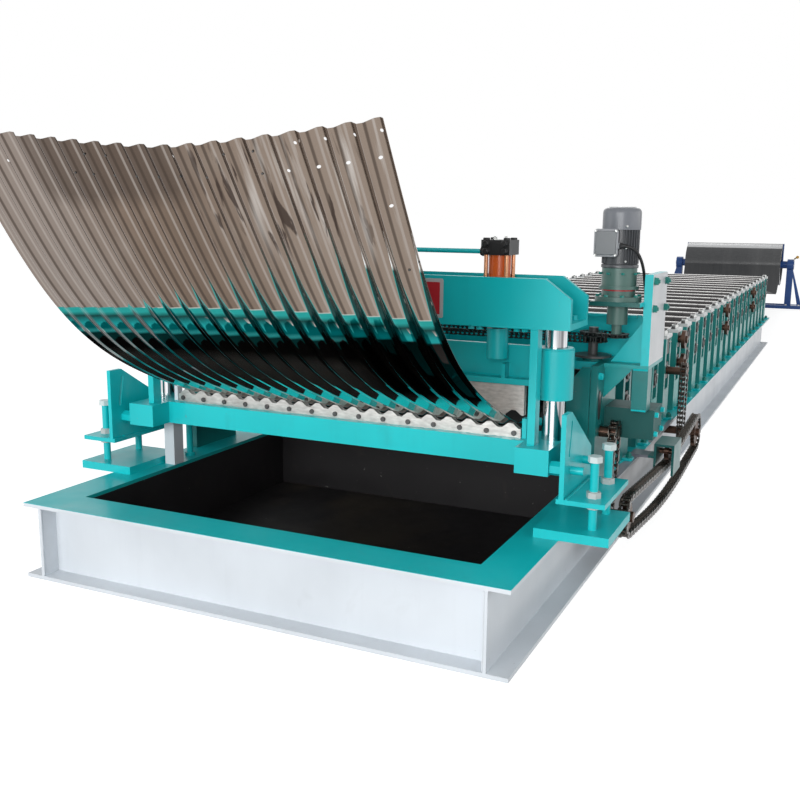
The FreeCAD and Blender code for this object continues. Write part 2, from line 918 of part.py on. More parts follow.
inner_face = curver_face - s.curver_plate
crimp_y = s.curver_front + s.curver_length / 2
crimps = [
    cylinder(
        "crimp_%d" % i, -inner_face, crimp_y + s.crimp_pitch * a,
        height, s.crimp_radius, inner_face * 2, "x",
    )
    for i, (a, height) in enumerate((
        (0, s.pass_height + s.strip_thick + s.crimp_radius + s.roll_gap),
        (-0.5, s.pass_height - s.crimp_radius),
        (0.5, s.pass_height - s.crimp_radius),
    ))
]
group("crimp_rollers", crimps)

top_bar = box(
    "curver_bar", -inner_face, crimp_y - 50, s.curver_top - 30, inner_face * 2, 100, 30,
)
label(top_bar, "curving_top_bar")

sprocket_top = s.sprocket_height + s.sprocket_spacing + s.sprocket_thick
screw = turned("jack_screw_set", screw_x, crimp_y, [
    (s.screw_radius * 2, s.curver_top, s.curver_top + s.shelf_thick),
    (s.screw_disc, s.curver_top + s.shelf_thick, s.curver_top + s.shelf_thick + 8),
    (s.screw_radius, s.curver_top + s.shelf_thick + 8, sprocket_top + s.screw_radius),
])
pair("jack_screws", screw)

# The motor lead's route from the terminal box down to its gland on the shelf, measured
# from the foot of the motor's body on its axis. The last point is above the gland.
LEAD_POINTS = [
    (12, -70, 79), (42, -70, 79), (68, -64, 65), (84, -47, 34), (90, -15, -8),
    (86, 35, -56), (80, 105, -118), (80, 140, -198), (80, 147, -270),
]

shelf_bottom = s.curver_top - s.shelf_thick
shelf = box(
    "motor_shelf_plate", curver_face, s.shelf_front, shelf_bottom,
    s.shelf_reach, s.shelf_length, s.shelf_thick,
)
shelf_web = profile(
    "motor_shelf_web", "XZ",
    [[
        (curver_face, shelf_bottom), (shelf_outer - s.post_width, shelf_bottom),
        (curver_face, shelf_bottom - s.shelf_web_height),
    ]],
    s.shelf_thick,
)
place(shelf_web, 0, s.shelf_front + s.shelf_thick)
lead_gland = cylinder(
    "lead_gland", motor_x + LEAD_POINTS[-1][0], s.motor_y + LEAD_POINTS[-1][1], s.curver_top,
    s.lead_gland, s.lead_gland_height,
)
label(fuse("motor_shelf_welded", [shelf, shelf_web, lead_gland]), "motor_shelf")

gear_box = box(
    "gear_box_block", curver_face, s.gear_box_front, s.gear_box_bottom,
    s.gear_box_reach, s.gear_box_length, s.gear_box_top - s.gear_box_bottom,
)
label(gear_box, "curving_gearbox")

post = box(
    "motor_post_bar", shelf_outer - s.post_width, s.shelf_front, s.gear_box_top,
    s.post_width, s.post_depth, shelf_bottom - s.gear_box_top,
)
label(post, "motor_post")

column_face = shelf_outer - s.column_thick
mount_bottom = s.mount_height - s.bracket_thick
column_plate = box(
    "motor_column_plate", column_face, s.shelf_front, s.curver_top,
    s.column_thick, s.shelf_length, s.column_rise,
)
mount_half = s.motor_radius * 1.25
mount = box(
    "motor_mount_plate", motor_x - mount_half, s.motor_y - mount_half, mount_bottom,
    column_face - motor_x + mount_half, mount_half * 2, s.bracket_thick,
)
mount_hole = cylinder(
    "motor_mount_hole", motor_x, s.motor_y, mount_bottom - 1,
    s.motor_radius * 0.55 + s.rest_gap, s.bracket_thick + 2,
)
gusset = profile(
    "motor_gusset", "XZ",
    [[
        (column_face, s.curver_top), (column_face, s.curver_top + s.gusset_rise),
        (column_face - s.gusset_reach, s.curver_top),
    ]],
    s.shelf_thick,
)
place(gusset, 0, s.motor_y + s.motor_radius / 2)
label(
    fuse("motor_bracket_welded", [column_plate, cut("motor_mount", mount, mount_hole), gusset]),
    "motor_bracket",
)


motor_sprocket_z = s.sprocket_height + s.sprocket_spacing
reducer = turned("reducer_turned", motor_x, s.motor_y, [
    (s.screw_radius, motor_sprocket_z, s.hub_bottom),
    (s.motor_radius * 0.55, s.hub_bottom, s.mount_height),
    (s.motor_radius * 1.22, s.mount_height, s.mount_height + 16),
    (s.motor_radius * 0.88, s.mount_height + 16, s.reducer_bottom),
    (s.motor_radius * 1.05, s.reducer_bottom, s.reducer_bottom + 12),
    (s.motor_radius * 0.92, s.reducer_bottom + 12, s.body_bottom),
])
label(reducer, "reducer")


def motor_shape():
    """The finned body, the domed fan cowl and the terminal box of the motor."""
    radius = float(s.motor_radius)
    body_bottom = float(s.body_bottom)
    cowl_bottom = float(s.cowl_bottom)
    top = float(s.motor_top)
    count = int(float(s.fin_count))
    tip = radius * 0.92
    root = tip - float(s.fin_depth)
    points = []
    for i in range(count):
        for share, reach in ((-0.16, root), (-0.1, tip), (0.1, tip), (0.16, root)):
            turn = 2 * math.pi * (i + share) / count
            points.append(V(reach * math.cos(turn), reach * math.sin(turn), body_bottom))
    finned = Part.Face(Part.makePolygon(points + points[:1]))
    finned = finned.extrude(V(0, 0, cowl_bottom - body_bottom))
    rim = radius * 0.2
    side = Part.LineSegment(V(radius, 0, cowl_bottom), V(radius, 0, top - rim))
    edge = Part.Arc(
        V(radius, 0, top - rim),
        V(radius - rim * (1 - math.sqrt(0.5)), 0, top - rim * (1 - math.sqrt(0.5))),
        V(radius - rim, 0, top),
    )
    lid = Part.LineSegment(V(radius - rim, 0, top), V(0, 0, top))
    middle = Part.LineSegment(V(0, 0, top), V(0, 0, cowl_bottom))
    base = Part.LineSegment(V(0, 0, cowl_bottom), V(radius, 0, cowl_bottom))
    outline = Part.Wire([part.toShape() for part in (side, edge, lid, middle, base)])
    cowl = Part.Face(outline).revolve(V(0, 0, 0), V(0, 0, 1), 360)
    terminal = Part.makeBox(
        radius * 1.24, radius * 0.9, radius * 1.35,
        V(-radius * 1.2, -radius * 1.3, body_bottom + float(s.fin_depth)),
    )
    out, along, up = LEAD_POINTS[0]
    gland = Part.makeCylinder(
        float(s.lead_gland), out * 2, V(-out, along, body_bottom + up), V(1, 0, 0)
    )
    whole = finned.fuse([cowl, terminal, gland])
    whole.translate(V(float(motor_x), float(s.motor_y), 0))
    return whole


label(feature("motor_solid", motor_shape()), "motor")

screw_pitch_radius = float(s.sprocket_radius)
motor_pitch_radius = float(s.motor_sprocket_radius)
small_half = float(s.small_chain_half)
fit = float(s.rest_gap)
screw_bore = float(s.screw_radius) + 0.1
wheel_thick = float(s.sprocket_thick)
screw_teeth = 14
motor_teeth = 12


def flat_wheel(x, y, z, pitch_radius, teeth):
    """A sprocket on an upright shaft, its teeth just inside its chain."""
    wheel = toothed(pitch_radius - small_half - fit, screw_bore, teeth, wheel_thick)
    wheel.translate(V(x, y, z))
    return wheel


low_level = float(s.sprocket_height)
high_level = float(motor_sprocket_z)
screw_side = float(screw_x)
jack_y = float(crimp_y)
motor_place = (float(motor_x), float(s.motor_y))
jack_wheels = [
    flat_wheel(screw_side, jack_y, low_level, screw_pitch_radius, screw_teeth),
    flat_wheel(-screw_side, jack_y, low_level, screw_pitch_radius, screw_teeth),
    flat_wheel(screw_side, jack_y, high_level, screw_pitch_radius, screw_teeth),
    flat_wheel(motor_place[0], motor_place[1], high_level, motor_pitch_radius, motor_teeth),
]
label(feature("jack_wheels", Part.makeCompound(jack_wheels)), "jack_sprockets")

cross_band = chain_band(
    [(-screw_side, jack_y, screw_pitch_radius), (screw_side, jack_y, screw_pitch_radius)],
    small_half, wheel_thick,
)
cross_band.translate(V(0, 0, low_level))
motor_band = chain_band(
    [(screw_side, jack_y, screw_pitch_radius), (*motor_place, motor_pitch_radius)],
    small_half, wheel_thick,
)
motor_band.translate(V(0, 0, high_level))
label(feature("cross_bands", Part.makeCompound([cross_band, motor_band])), "cross_chains")


def lead_shape():
    """The motor's lead: straight runs joined by tangent arcs, from gland to gland."""
    radius = float(s.lead_radius)
    foot = V(float(motor_x), float(s.motor_y), float(s.body_bottom))
    points = [foot + V(*point) for point in LEAD_POINTS]
    points.append(V(points[-1].x, points[-1].y, float(s.curver_top + s.lead_gland_height)))
    edges = []
    start = points[0]
    radii = []
    for before, corner, after in zip(points, points[1:], points[2:]):
        back = before - corner
        onward = after - corner
        half_turn = (math.pi - back.getAngle(onward)) / 2
        reach = 0.45 * min(back.Length, onward.Length)
        arc_radius = reach / math.tan(half_turn)
        radii.append(round(arc_radius))
        back.normalize()
        onward.normalize()
        enter = corner + back * reach
        leave = corner + onward * reach
        centre_line = (back + onward).normalize()
        depth = arc_radius / math.cos(half_turn) - arc_radius
        edges.append(Part.LineSegment(start, enter).toShape())
        edges.append(Part.Arc(enter, corner + centre_line * depth, leave).toShape())
        start = leave
    edges.append(Part.LineSegment(start, points[-1]).toShape())
    path = Part.Wire(edges)
    ring = Part.Wire(Part.makeCircle(radius, points[0], points[1] - points[0]))
    tube = path.makePipeShell([ring], True, True)
    print("lead radii", radii, "length", round(path.Length), "volume share",
          round(tube.Volume / (math.pi * radius ** 2 * path.Length), 4))
    return tube


label(feature("lead_tube", lead_shape()), "motor_lead")

# forming stations


def station_rows(start=0):
    """The Y of each forming station."""
    return [s.station_first + s.station_pitch * i for i in range(start, int(float(s.station_count)))]


housing_x = s.base_half_width - s.housing_inset
housing_outline = [
    [
        (-s.housing_length / 2, s.base_height), (s.housing_length / 2, s.base_height),
        (s.housing_length / 2, s.housing_top), (s.window_length / 2, s.housing_top),
        (s.window_length / 2, s.window_bottom), (-s.window_length / 2, s.window_bottom),
        (-s.window_length / 2, s.housing_top), (-s.housing_length / 2, s.housing_top),
    ],
]
housing_inner = housing_x - s.housing_thick / 2
housing = profile("housing", "YZ", housing_outline, s.housing_thick)
place(housing, housing_inner)
doc.recompute()


def repeated(name, source_shape):
    """Copies of one shape at each forming station."""
    copies = []
    for y in station_rows():
        copy = source_shape.copy()
        copy.translate(V(0, float(y), 0))
        copies.append(copy)
    return label(feature(name + "_row", Part.makeCompound(copies)), name)


right_housing = housing.Shape.copy()
left_housing = right_housing.mirror(V(0, 0, 0), V(1, 0, 0))
repeated("station_housings_right", right_housing)
repeated("station_housings_left", left_housing)

top_axis = float(s.pass_height + s.strip_thick + s.roller_radius + s.roll_gap)
low_axis = float(s.pass_height - s.roller_radius)


block_half = (s.housing_thick - s.shaft_proud) / 2
shaft_end = housing_x - block_half - s.rest_gap


def roller_shape(axis_z):
    """A roller with its two shaft ends, lying along X."""
    half = float(s.roller_half)
    ends = float(shaft_end)
    radius = float(s.roller_radius)
    shaft = float(s.shaft_radius)
    points = [
        V(-ends, 0, 0), V(-ends, 0, shaft), V(-half, 0, shaft), V(-half, 0, radius),
        V(half, 0, radius), V(half, 0, shaft), V(ends, 0, shaft), V(ends, 0, 0),
    ]
    face = Part.Face(Part.makePolygon(points + points[:1]))
    solid = face.revolve(V(0, 0, 0), V(1, 0, 0), 360)
    solid.translate(V(0, 0, axis_z))
    return solid


repeated("top_rollers", roller_shape(top_axis))
repeated("bottom_rollers", roller_shape(low_axis))


def block_shape(side):
    """The two closed bearing blocks in the window of one housing."""
    width = float(s.window_length)
    thick = float(block_half) * 2
    height = float(s.block_height)
    x = side * float(housing_x) - thick / 2
    return Part.makeCompound([
        Part.makeBox(thick, width, height, V(x, -width / 2, axis_z - height / 2))
        for axis_z in (low_axis, top_axis)
    ])


repeated("bearing_blocks_right", block_shape(1))
repeated("bearing_blocks_left", block_shape(-1))


def cap_shape(side):
    """The plate that closes the top of one housing."""
    length = float(s.housing_length)
    thick = float(s.housing_thick) + 8
    x = side * float(housing_x) - thick / 2
    return Part.makeBox(thick, length, float(s.cap_plate), V(x, -length / 2, float(s.housing_top)))


repeated("station_caps_right", cap_shape(1))
repeated("station_caps_left", cap_shape(-1))

# side drive on the right

lift_x = float(s.base_half_width + s.lift_offset)
chain_x = float(guard_x)
web_face = float(web_x + s.web_thick / 2)
rear_drive_y = station_rows()[int(float(s.rear_drive_station))]
front_drive = (float(s.front_drive_y), float(s.front_drive_z))
rear_drive = (float(rear_drive_y), float(s.rear_drive_z))
front_lift = (float(crimp_y - s.crimp_pitch / 2), float(s.pass_height - s.crimp_radius))
rear_lift = (float(rear_drive_y), low_axis)
lift_radius = float(s.lift_radius)
chain_half = float(s.chain_half)
lift_half = float(s.lift_half)


def side_bands():
    """The long slack side chain and the two upright chains that it drives."""
    slack_radius = float(s.slack_radius)
    long_band = chain_band(
        [
            (*front_drive, float(s.front_drive_radius)),
            (float(s.slack_y), float(s.slack_z) + slack_radius, slack_radius),
            (*rear_drive, float(s.rear_drive_radius)),
            (float(s.idler_y), float(s.idler_z), -float(s.idler_radius)),
        ],
        chain_half, float(s.chain_width),
    )
    lifts = [
        chain_band([(*low, lift_radius), (*high, lift_radius)], lift_half, float(s.lift_width))
        for low, high in ((front_drive, front_lift), (rear_drive, rear_lift))
    ]
    bands = [across(long_band, chain_x - float(s.chain_width) / 2)]
    bands += [across(band, lift_x - float(s.lift_width) / 2) for band in lifts]
    return Part.makeCompound(bands)


def wheel_across(y, z, x, radius, teeth, thick):
    """A sprocket on a shaft that lies along X, centred on x."""
    wheel = across(toothed(radius, 0, teeth, thick), x - thick / 2)
    wheel.translate(V(0, y, z))
    return wheel


def shaft_across(y, z, start, end, radius):
    """A round shaft along X."""
    return Part.makeCylinder(radius, end - start, V(start, y, z), V(1, 0, 0))


def drive_wheels():
    """Every sprocket of the side drive with the shaft that carries it."""
    shaft = float(s.drive_shaft_radius)
    gear_thick = float(s.gear_thick)
    lift_tip = lift_radius - lift_half - fit
    shaft_tip = chain_x + float(s.chain_width) / 2 + float(s.shaft_proud)
    sets = []
    for (y, z), radius, teeth in (
        (front_drive, float(s.front_drive_radius), 17), (rear_drive, float(s.rear_drive_radius), 21),
    ):
        tip = radius - chain_half - fit
        sets.append(
            shaft_across(y, z, web_face, shaft_tip, shaft).fuse([
                wheel_across(y, z, chain_x, tip, teeth, gear_thick),
                wheel_across(y, z, lift_x, lift_tip, 12, gear_thick),
            ])
        )
    block_face = float(housing_x + block_half)
    for (y, z), start in ((front_lift, float(curver_face)), (rear_lift, block_face)):
        stub_end = lift_x + float(s.lift_width) / 2
        sets.append(
            shaft_across(y, z, start, stub_end, shaft).fuse(
                wheel_across(y, z, lift_x, lift_tip, 12, gear_thick)
            )
        )
    idler_half = float(s.guard_half - s.guard_thick)
    idler = (float(s.idler_y), float(s.idler_z))
    idler_tip = float(s.idler_radius) - chain_half - fit
    sets.append(
        shaft_across(*idler, chain_x - idler_half, chain_x + idler_half, float(s.idler_pin)).fuse(
            wheel_across(*idler, chain_x, idler_tip, 12, gear_thick)
        )
    )
    geared_stations = (4, 10, 16)
    for y in [row for i, row in enumerate(station_rows()) if i in geared_stations]:
        for z in (low_axis, top_axis):
            middle = block_face + gear_thick * 1.5
            sets.append(
                shaft_across(float(y), z, block_face, middle + gear_thick, shaft).fuse(
                    shaft_across(
                        float(y), z, middle - gear_thick / 2, middle + gear_thick / 2,
                        float(s.gear_radius),
                    )
                )
            )
    return Part.makeCompound(sets)


label(feature("side_band_set", side_bands()), "side_chains")
label(feature("drive_wheel_set", drive_wheels()), "drive_sprockets")

# strip and coil


def strip_shape():
    """The strip from the shear through the rollers and down its slack loop to the coil.

    Beyond the last roller it bends over a wide crest, runs straight down and turns up
    round a tighter bend to meet the side of the coil.
    """
    thick = float(s.strip_thick)
    level = float(s.pass_height)
    front = float(upper_front + s.upper_blade_thick + s.blade_gap)
    crest = float(s.loop_crest)
    hang = float(s.coil_height - s.loop_height)
    crest_centre = V(0, float(base_length + s.front_depth), level - crest)
    coil_side = float(s.coil_y - s.coil_radius - s.rest_gap)
    hang_centre = V(0, coil_side - hang, float(s.coil_height))
    span = hang_centre - crest_centre
    slope = math.asin((hang + crest) / span.Length) - math.atan2(span.z, span.y)

    def side_edges(rise):
        """One face of the strip, that much above its underside."""
        over = crest + rise
        under = hang - rise
        top = [
            crest_centre + V(0, over * math.sin(t), over * math.cos(t))
            for t in (0, slope / 2, slope)
        ]
        turn_end = math.pi / 2
        bottom = [
            hang_centre + V(0, under * math.sin(t), -under * math.cos(t))
            for t in (-slope, (turn_end - slope) / 2, turn_end)
        ]
        start = V(0, front, level + rise)
        return start, bottom[2], [
            Part.LineSegment(start, top[0]).toShape(), Part.Arc(*top).toShape(),
            Part.LineSegment(top[2], bottom[0]).toShape(), Part.Arc(*bottom).toShape(),
        ]

    low_start, low_end, low_edges = side_edges(0)
    high_start, high_end, high_edges = side_edges(thick)
    ends = [
        Part.LineSegment(low_start, high_start).toShape(),
        Part.LineSegment(low_end, high_end).toShape(),
    ]
    outline = Part.Wire(Part.__sortEdges__(low_edges + high_edges + ends))
    half = float(s.strip_half)
    solid = Part.Face(outline).extrude(V(half * 2, 0, 0))
    solid.translate(V(-half, 0, 0))
    return solid


label(feature("strip_solid", strip_shape()), "strip")

coil_half = s.strip_half
coil_outer = cylinder(
    "coil_outer", -coil_half, s.coil_y, s.coil_height, s.coil_radius, coil_half * 2, "x",
)
coil_hole = cylinder(
    "coil_hole", -coil_half - 1, s.coil_y, s.coil_height, s.coil_bore, coil_half * 2 + 2, "x",
)
label(cut("coil_ring", coil_outer, coil_hole), "coil")

mandrel_end = s.decoiler_half + s.post_tube + s.shaft_proud
mandrel_bar = cylinder(
    "mandrel_bar", -mandrel_end, s.coil_y, s.coil_height, s.mandrel_radius, mandrel_end * 2, "x",
)
arm_width = float(s.keeper_width)
arm_thick = float(s.keeper_width)
arm_inset = arm_width
arm_foot = float(s.mandrel_radius) * 0.9
arms = []
for i in range(4):
    turn = FreeCAD.Rotation(V(1, 0, 0), 90 * i + 45)
    for j, x in enumerate((arm_inset - float(coil_half), float(coil_half) - arm_inset - arm_thick)):
        bar = Part.makeBox(
            arm_thick, arm_width, float(s.coil_bore) - arm_foot, V(0, -arm_width / 2, arm_foot)
        )
        bar.Placement = FreeCAD.Placement(
            V(x, float(s.coil_y), float(s.coil_height)), turn
        )
        arms.append(feature("arm_%d_%d" % (i, j), bar))
arm_limit = cylinder(
    "arm_limit", -coil_half, s.coil_y, s.coil_height, s.coil_bore, coil_half * 2, "x",
)
fitted = doc.addObject("Part::MultiCommon", "arms_fitted")
fitted.Shapes = [fuse("arms_welded", arms), arm_limit]
keepers = [
    box(
        "keeper_%d" % i, x, s.coil_y - s.keeper_width / 2, s.coil_height,
        s.keeper_thick, s.keeper_width, s.coil_radius,
    )
    for i, x in enumerate((coil_half + s.rest_gap, -coil_half - s.rest_gap - s.keeper_thick))
]
label(fuse("mandrel_welded", [mandrel_bar, fitted] + keepers), "mandrel")


def decoiler_side():
    """One stand of the decoiler: foot, post, slanted brace and round bearing head."""
    tube = float(s.post_tube)
    x = float(s.decoiler_half)
    spread = float(s.foot_spread)
    y = float(s.coil_y)
    top = float(s.coil_height)
    foot_top = float(s.foot_thick)
    reach = float(s.foot_reach)
    brace_width = float(s.brace_width)
    brace_top = top - float(s.head_radius)
    foot = Part.makeBox(reach, spread * 2, foot_top, V(x, y - spread, 0))
    post = Part.makeBox(tube, tube, top - foot_top, V(x, y - tube / 2, foot_top))
    head = Part.makeCylinder(float(s.head_radius), tube, V(x, y, top), V(1, 0, 0))
    outline = [
        V(x + reach - brace_width, y, foot_top), V(x + reach, y, foot_top),
        V(x + tube, y, brace_top), V(x + tube, y, brace_top - float(s.brace_drop)),
    ]
    brace = Part.Face(Part.makePolygon(outline + outline[:1])).extrude(V(0, brace_width, 0))
    brace.translate(V(0, -brace_width / 2, 0))
    bore = Part.makeCylinder(
        float(s.mandrel_radius) + 0.1, tube + 2, V(x - 1, y, top), V(1, 0, 0)
    )
    return foot.fuse([post, head, brace]).removeSplitter().cut(bore)


side_frame = feature("decoiler_side", decoiler_side())
label(side_frame, "decoiler_frame_right")
label(mirror("decoiler_side_mirror", side_frame), "decoiler_frame_left")
tie_bars = [
    box(
        "decoiler_tie_%d" % i, -s.decoiler_half, s.coil_y + offset, 0,
        s.decoiler_half * 2, s.decoiler_tube, s.foot_thick,
    )
    for i, offset in enumerate((-s.foot_spread, s.foot_spread - s.decoiler_tube))
]
group("decoiler_tie_bars", tie_bars)

# curved panel


def panel_shape():
    """The finished panel: a straight tail, a curved middle and a straight tip, waved across."""
    half = float(s.panel_half)
    half_count = 2 * int(float(s.wave_count)) - 1
    start = -float(s.wave_pitch) * (half_count - 1) / 4
    outline = []
    for height in (float(s.strip_thick), 0):
        line = wave_points(half_count, -float(s.wave_depth), height, start)
        line = [V(-half, 0, height)] + line + [V(half, 0, height)]
        outline = outline + line if height else outline + line[::-1]
    face = Part.Face(Part.makePolygon(outline + outline[:1]))
    slope = float(s.panel_slope)
    lift = float(s.wave_depth) / 2 * (1 - math.cos(math.radians(slope))) + float(s.rest_gap)
    tail = V(0, float(s.panel_tail), lower_level + lift)
    turn = FreeCAD.Rotation(V(1, 0, 0), -slope)
    face.Placement = FreeCAD.Placement(tail, turn)
    run = turn.multVec(V(0, -float(s.panel_lower_run), 0))
    lower_part = face.extrude(run)
    second = face.copy()
    second.translate(run)
    middle = second.Placement.Base
    up = turn.multVec(V(0, 0, 1))
    centre = middle + up * float(s.panel_radius)
    bend = float(s.panel_tip_slope - s.panel_slope)
    middle_part = second.revolve(centre, V(-1, 0, 0), bend)
    third = second.copy()
    third.rotate(centre, V(-1, 0, 0), bend)
    tip_turn = FreeCAD.Rotation(V(1, 0, 0), -float(s.panel_tip_slope))
    upper_part = third.extrude(tip_turn.multVec(V(0, -float(s.panel_upper_run), 0)))
    return lower_part.fuse([middle_part, upper_part])


panel = panel_shape()
label(feature("panel_solid", panel), "curved_panel")

doc.recompute()
for obj in doc.Objects:
    if "Invalid" in obj.State or "Error" in obj.State:
        raise RuntimeError("failed: %s %s" % (obj.Label, obj.State))
for node in nodes:
    if node.Shape.isNull() or not node.Shape.isValid():
        raise RuntimeError("bad shape: " + node.Label)
os.makedirs("parts", exist_ok=True)
for node in nodes:
    node.Shape.exportStep("parts/%s.step" % node.Label)
print("nodes", len(nodes))
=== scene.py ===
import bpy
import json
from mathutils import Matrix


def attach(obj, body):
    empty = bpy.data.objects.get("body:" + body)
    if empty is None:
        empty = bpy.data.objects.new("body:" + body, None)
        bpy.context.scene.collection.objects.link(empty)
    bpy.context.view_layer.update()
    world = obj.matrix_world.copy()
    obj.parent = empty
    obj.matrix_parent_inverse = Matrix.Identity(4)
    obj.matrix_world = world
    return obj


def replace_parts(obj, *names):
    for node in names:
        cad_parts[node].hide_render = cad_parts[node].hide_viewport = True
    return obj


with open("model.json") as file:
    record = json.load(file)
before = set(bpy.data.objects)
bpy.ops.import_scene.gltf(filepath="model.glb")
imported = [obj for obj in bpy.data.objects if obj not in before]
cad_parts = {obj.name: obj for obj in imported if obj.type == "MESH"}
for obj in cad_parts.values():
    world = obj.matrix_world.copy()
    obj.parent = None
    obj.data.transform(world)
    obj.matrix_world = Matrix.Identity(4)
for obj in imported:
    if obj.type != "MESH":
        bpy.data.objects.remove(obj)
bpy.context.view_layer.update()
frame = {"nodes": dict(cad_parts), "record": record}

import json
import math

import bmesh
import bpy
from mathutils import Matrix, Vector


def add_object(name, data):
    """An object of the scene that holds the data."""
    obj = bpy.data.objects.new(name, data)
    bpy.context.scene.collection.objects.link(obj)
    return obj


# The photograph's camera, solved from the straight edges of the machine.

FOCAL_PIXELS = 955.6237
IMAGE_PIXELS = 800
SENSOR_WIDTH = 36
CAMERA_SPOT = (1.708155, -2.411525, 1.297738)
azimuth, elevation, roll = 0.4402719, 0.1885193, -0.0095013
camera_data = bpy.data.cameras.new("camera")
camera_data.sensor_width = SENSOR_WIDTH
camera_data.lens = FOCAL_PIXELS * SENSOR_WIDTH / IMAGE_PIXELS
camera_data.clip_end = 200
camera = add_object("camera", camera_data)
camera.matrix_world = (
    Matrix.Translation(CAMERA_SPOT) @ Matrix.Rotation(azimuth, 4, "Z")
    @ Matrix.Rotation(math.pi / 2 - elevation, 4, "X") @ Matrix.Rotation(-roll, 4, "Z")
)
bpy.context.scene.camera = camera

# Sizes and places on the machine, in metres.

UP, DOWN, FRONT = (0, 0, 1), (0, 0, -1), (0, -1, 0)
SIDES = (1, -1)
PITCH = 0.0762
STATIONS = [1.634 + 0.322 * i for i in range(22)]
HOUSINGS = [(y, s) for y in STATIONS for s in SIDES]
LOWER_AXLE, UPPER_AXLE = 0.535, 0.662
HOUSING_MIDDLE = 0.848
BLOCK_FACE = 0.87
CAP_TOP = 0.722
FLANGE_TOP = 0.28
SIDE_PLATE_FACE = 0.905
PIT_HALF, PIT_FRONT = 0.773, 0.153
RAM_Y = 0.69
CYLINDER_X, CYLINDER_TOP = 0.616, 1.228
JACK_X, JACK_Y = 0.846, 1.11
MOTOR_X, MOTOR_Y, MOTOR_SEAT = 0.938, 1.075, 1.128
REEL_Y, REEL_Z, COIL_HALF = 13.3, 0.65, 0.689

# Materials.


def add_node(tree, kind, inputs, **settings):
    """A node whose inputs are numbers, colours or the sockets of other nodes."""
    node = tree.nodes.new(kind)
    for key, value in settings.items():
        setattr(node, key, value)
    for key, value in inputs.items():
        if isinstance(value, bpy.types.NodeSocket):
            tree.links.new(value, node.inputs[key])
        else:
            node.inputs[key].default_value = value
    return node


class Shader:
    """A principled material with small helpers for its procedural detail."""

    def __init__(self, name, color, metallic=0.0, roughness=0.5, coat=0.0, specular=0.5):
        self.material = bpy.data.materials.new(name)
        self.material.use_nodes = True
        self.tree = self.material.node_tree
        self.tree.nodes.clear()
        look = {
            "Base Color": (*color, 1), "Metallic": metallic, "Roughness": roughness,
            "Specular IOR Level": specular,
        }
        if coat:
            look.update({"Coat Weight": coat, "Coat Roughness": 0.08})
        self.bsdf = add_node(self.tree, "ShaderNodeBsdfPrincipled", look)
        add_node(self.tree, "ShaderNodeOutputMaterial", {"Surface": self.bsdf.outputs[0]})
        self.coords = add_node(self.tree, "ShaderNodeTexCoord", {}).outputs["Object"]

    def step(self, kind, inputs, **settings):
        """The first output of a new node."""
        return add_node(self.tree, kind, inputs, **settings).outputs[0]

    def noise(self, scale, detail, stretch=(1, 1, 1), distortion=0.0):
        place = self.step("ShaderNodeMapping", {"Vector": self.coords, "Scale": stretch})
        return self.step("ShaderNodeTexNoise", {
            "Vector": place, "Scale": scale, "Detail": detail, "Distortion": distortion,
        })

    def axis(self, letter):
        """One coordinate of the surface point, in metres."""
        split = add_node(self.tree, "ShaderNodeSeparateXYZ", {0: self.coords})
        return split.outputs["XYZ".index(letter)]

    def math(self, operation, *terms):
        return self.step("ShaderNodeMath", dict(enumerate(terms)), operation=operation)

    def both(self, a, b):
        """The product of two masks, or of a mask and a strength."""
        return self.math("MULTIPLY", a, b)

    def sum(self, *parts):
        """The sum of (socket, factor) pairs and plain numbers."""
        total = 0.0
        for part in parts:
            value, factor = part if isinstance(part, tuple) else (1.0, part)
            total = self.math("MULTIPLY_ADD", value, factor, total)
        return total

    def ramp(self, value, low, high, a=0.0, b=1.0):
        """From a below low to b above high."""
        return self.step("ShaderNodeMapRange", {
            "Value": value, "From Min": low, "From Max": high, "To Min": a, "To Max": b,
        })

    def spots(self, levels, *noise, **more):
        """A ramp over noise; levels are the ramp's own numbers."""
        return self.ramp(self.noise(*noise, **more), *levels)

    def fall(self, value, low, high):
        """From 1 below low to 0 above high."""
        return self.ramp(value, low, high, 1.0, 0.0)

    def past(self, letter, level, soft):
        """0 before a coordinate and 1 past it."""
        return self.ramp(self.axis(letter), level - soft, level + soft)

    def within(self, letter, low, high, soft=0.001):
        """1 between two coordinates and 0 outside them."""
        value = self.axis(letter)
        return self.both(
            self.ramp(value, low - soft, low + soft), self.fall(value, high - soft, high + soft),
        )

    def mix(self, fac, a, b):
        """Colour a where fac is 0 and b where it is 1; each a socket or a colour."""
        a, b = [(*c, 1) if isinstance(c, tuple) else c for c in (a, b)]
        mix = add_node(self.tree, "ShaderNodeMix", {0: fac, 6: a, 7: b}, data_type="RGBA")
        return mix.outputs[2]

    def layers(self, base, *coats):
        """A colour under coats of (mask, colour), the last on top."""
        for mask, coat in coats:
            base = self.mix(mask, base, coat)
        return base

    def color(self, socket):
        self.tree.links.new(socket, self.bsdf.inputs["Base Color"])

    def rough(self, socket):
        self.tree.links.new(socket, self.bsdf.inputs["Roughness"])

    def bump(self, socket, strength, distance=0.002):
        bump = self.step("ShaderNodeBump", {
            "Height": socket, "Strength": strength, "Distance": distance,
        })
        self.tree.links.new(bump, self.bsdf.inputs["Normal"])


def shade(color, k):
    return tuple(c * k for c in color)


def painted(m, color, wear, dirt):
    """The colour of a sprayed coat: faint clouding, run marks and grime."""
    cloud = m.spots((0.35, 0.7), 2.2, 4)
    base = m.mix(cloud, shade(color, 0.92), shade(color, 1.05))
    streak = m.spots((0.55, 0.8, 0.0, 0.2 * wear), 3.0, 5, (9, 9, 0.7))
    base = m.mix(streak, base, shade(color, 0.5))
    grime = m.spots((0.62, 0.84, 0.0, 0.4 * wear), 9.0, 8, distortion=0.6)
    return m.mix(grime, base, dirt)


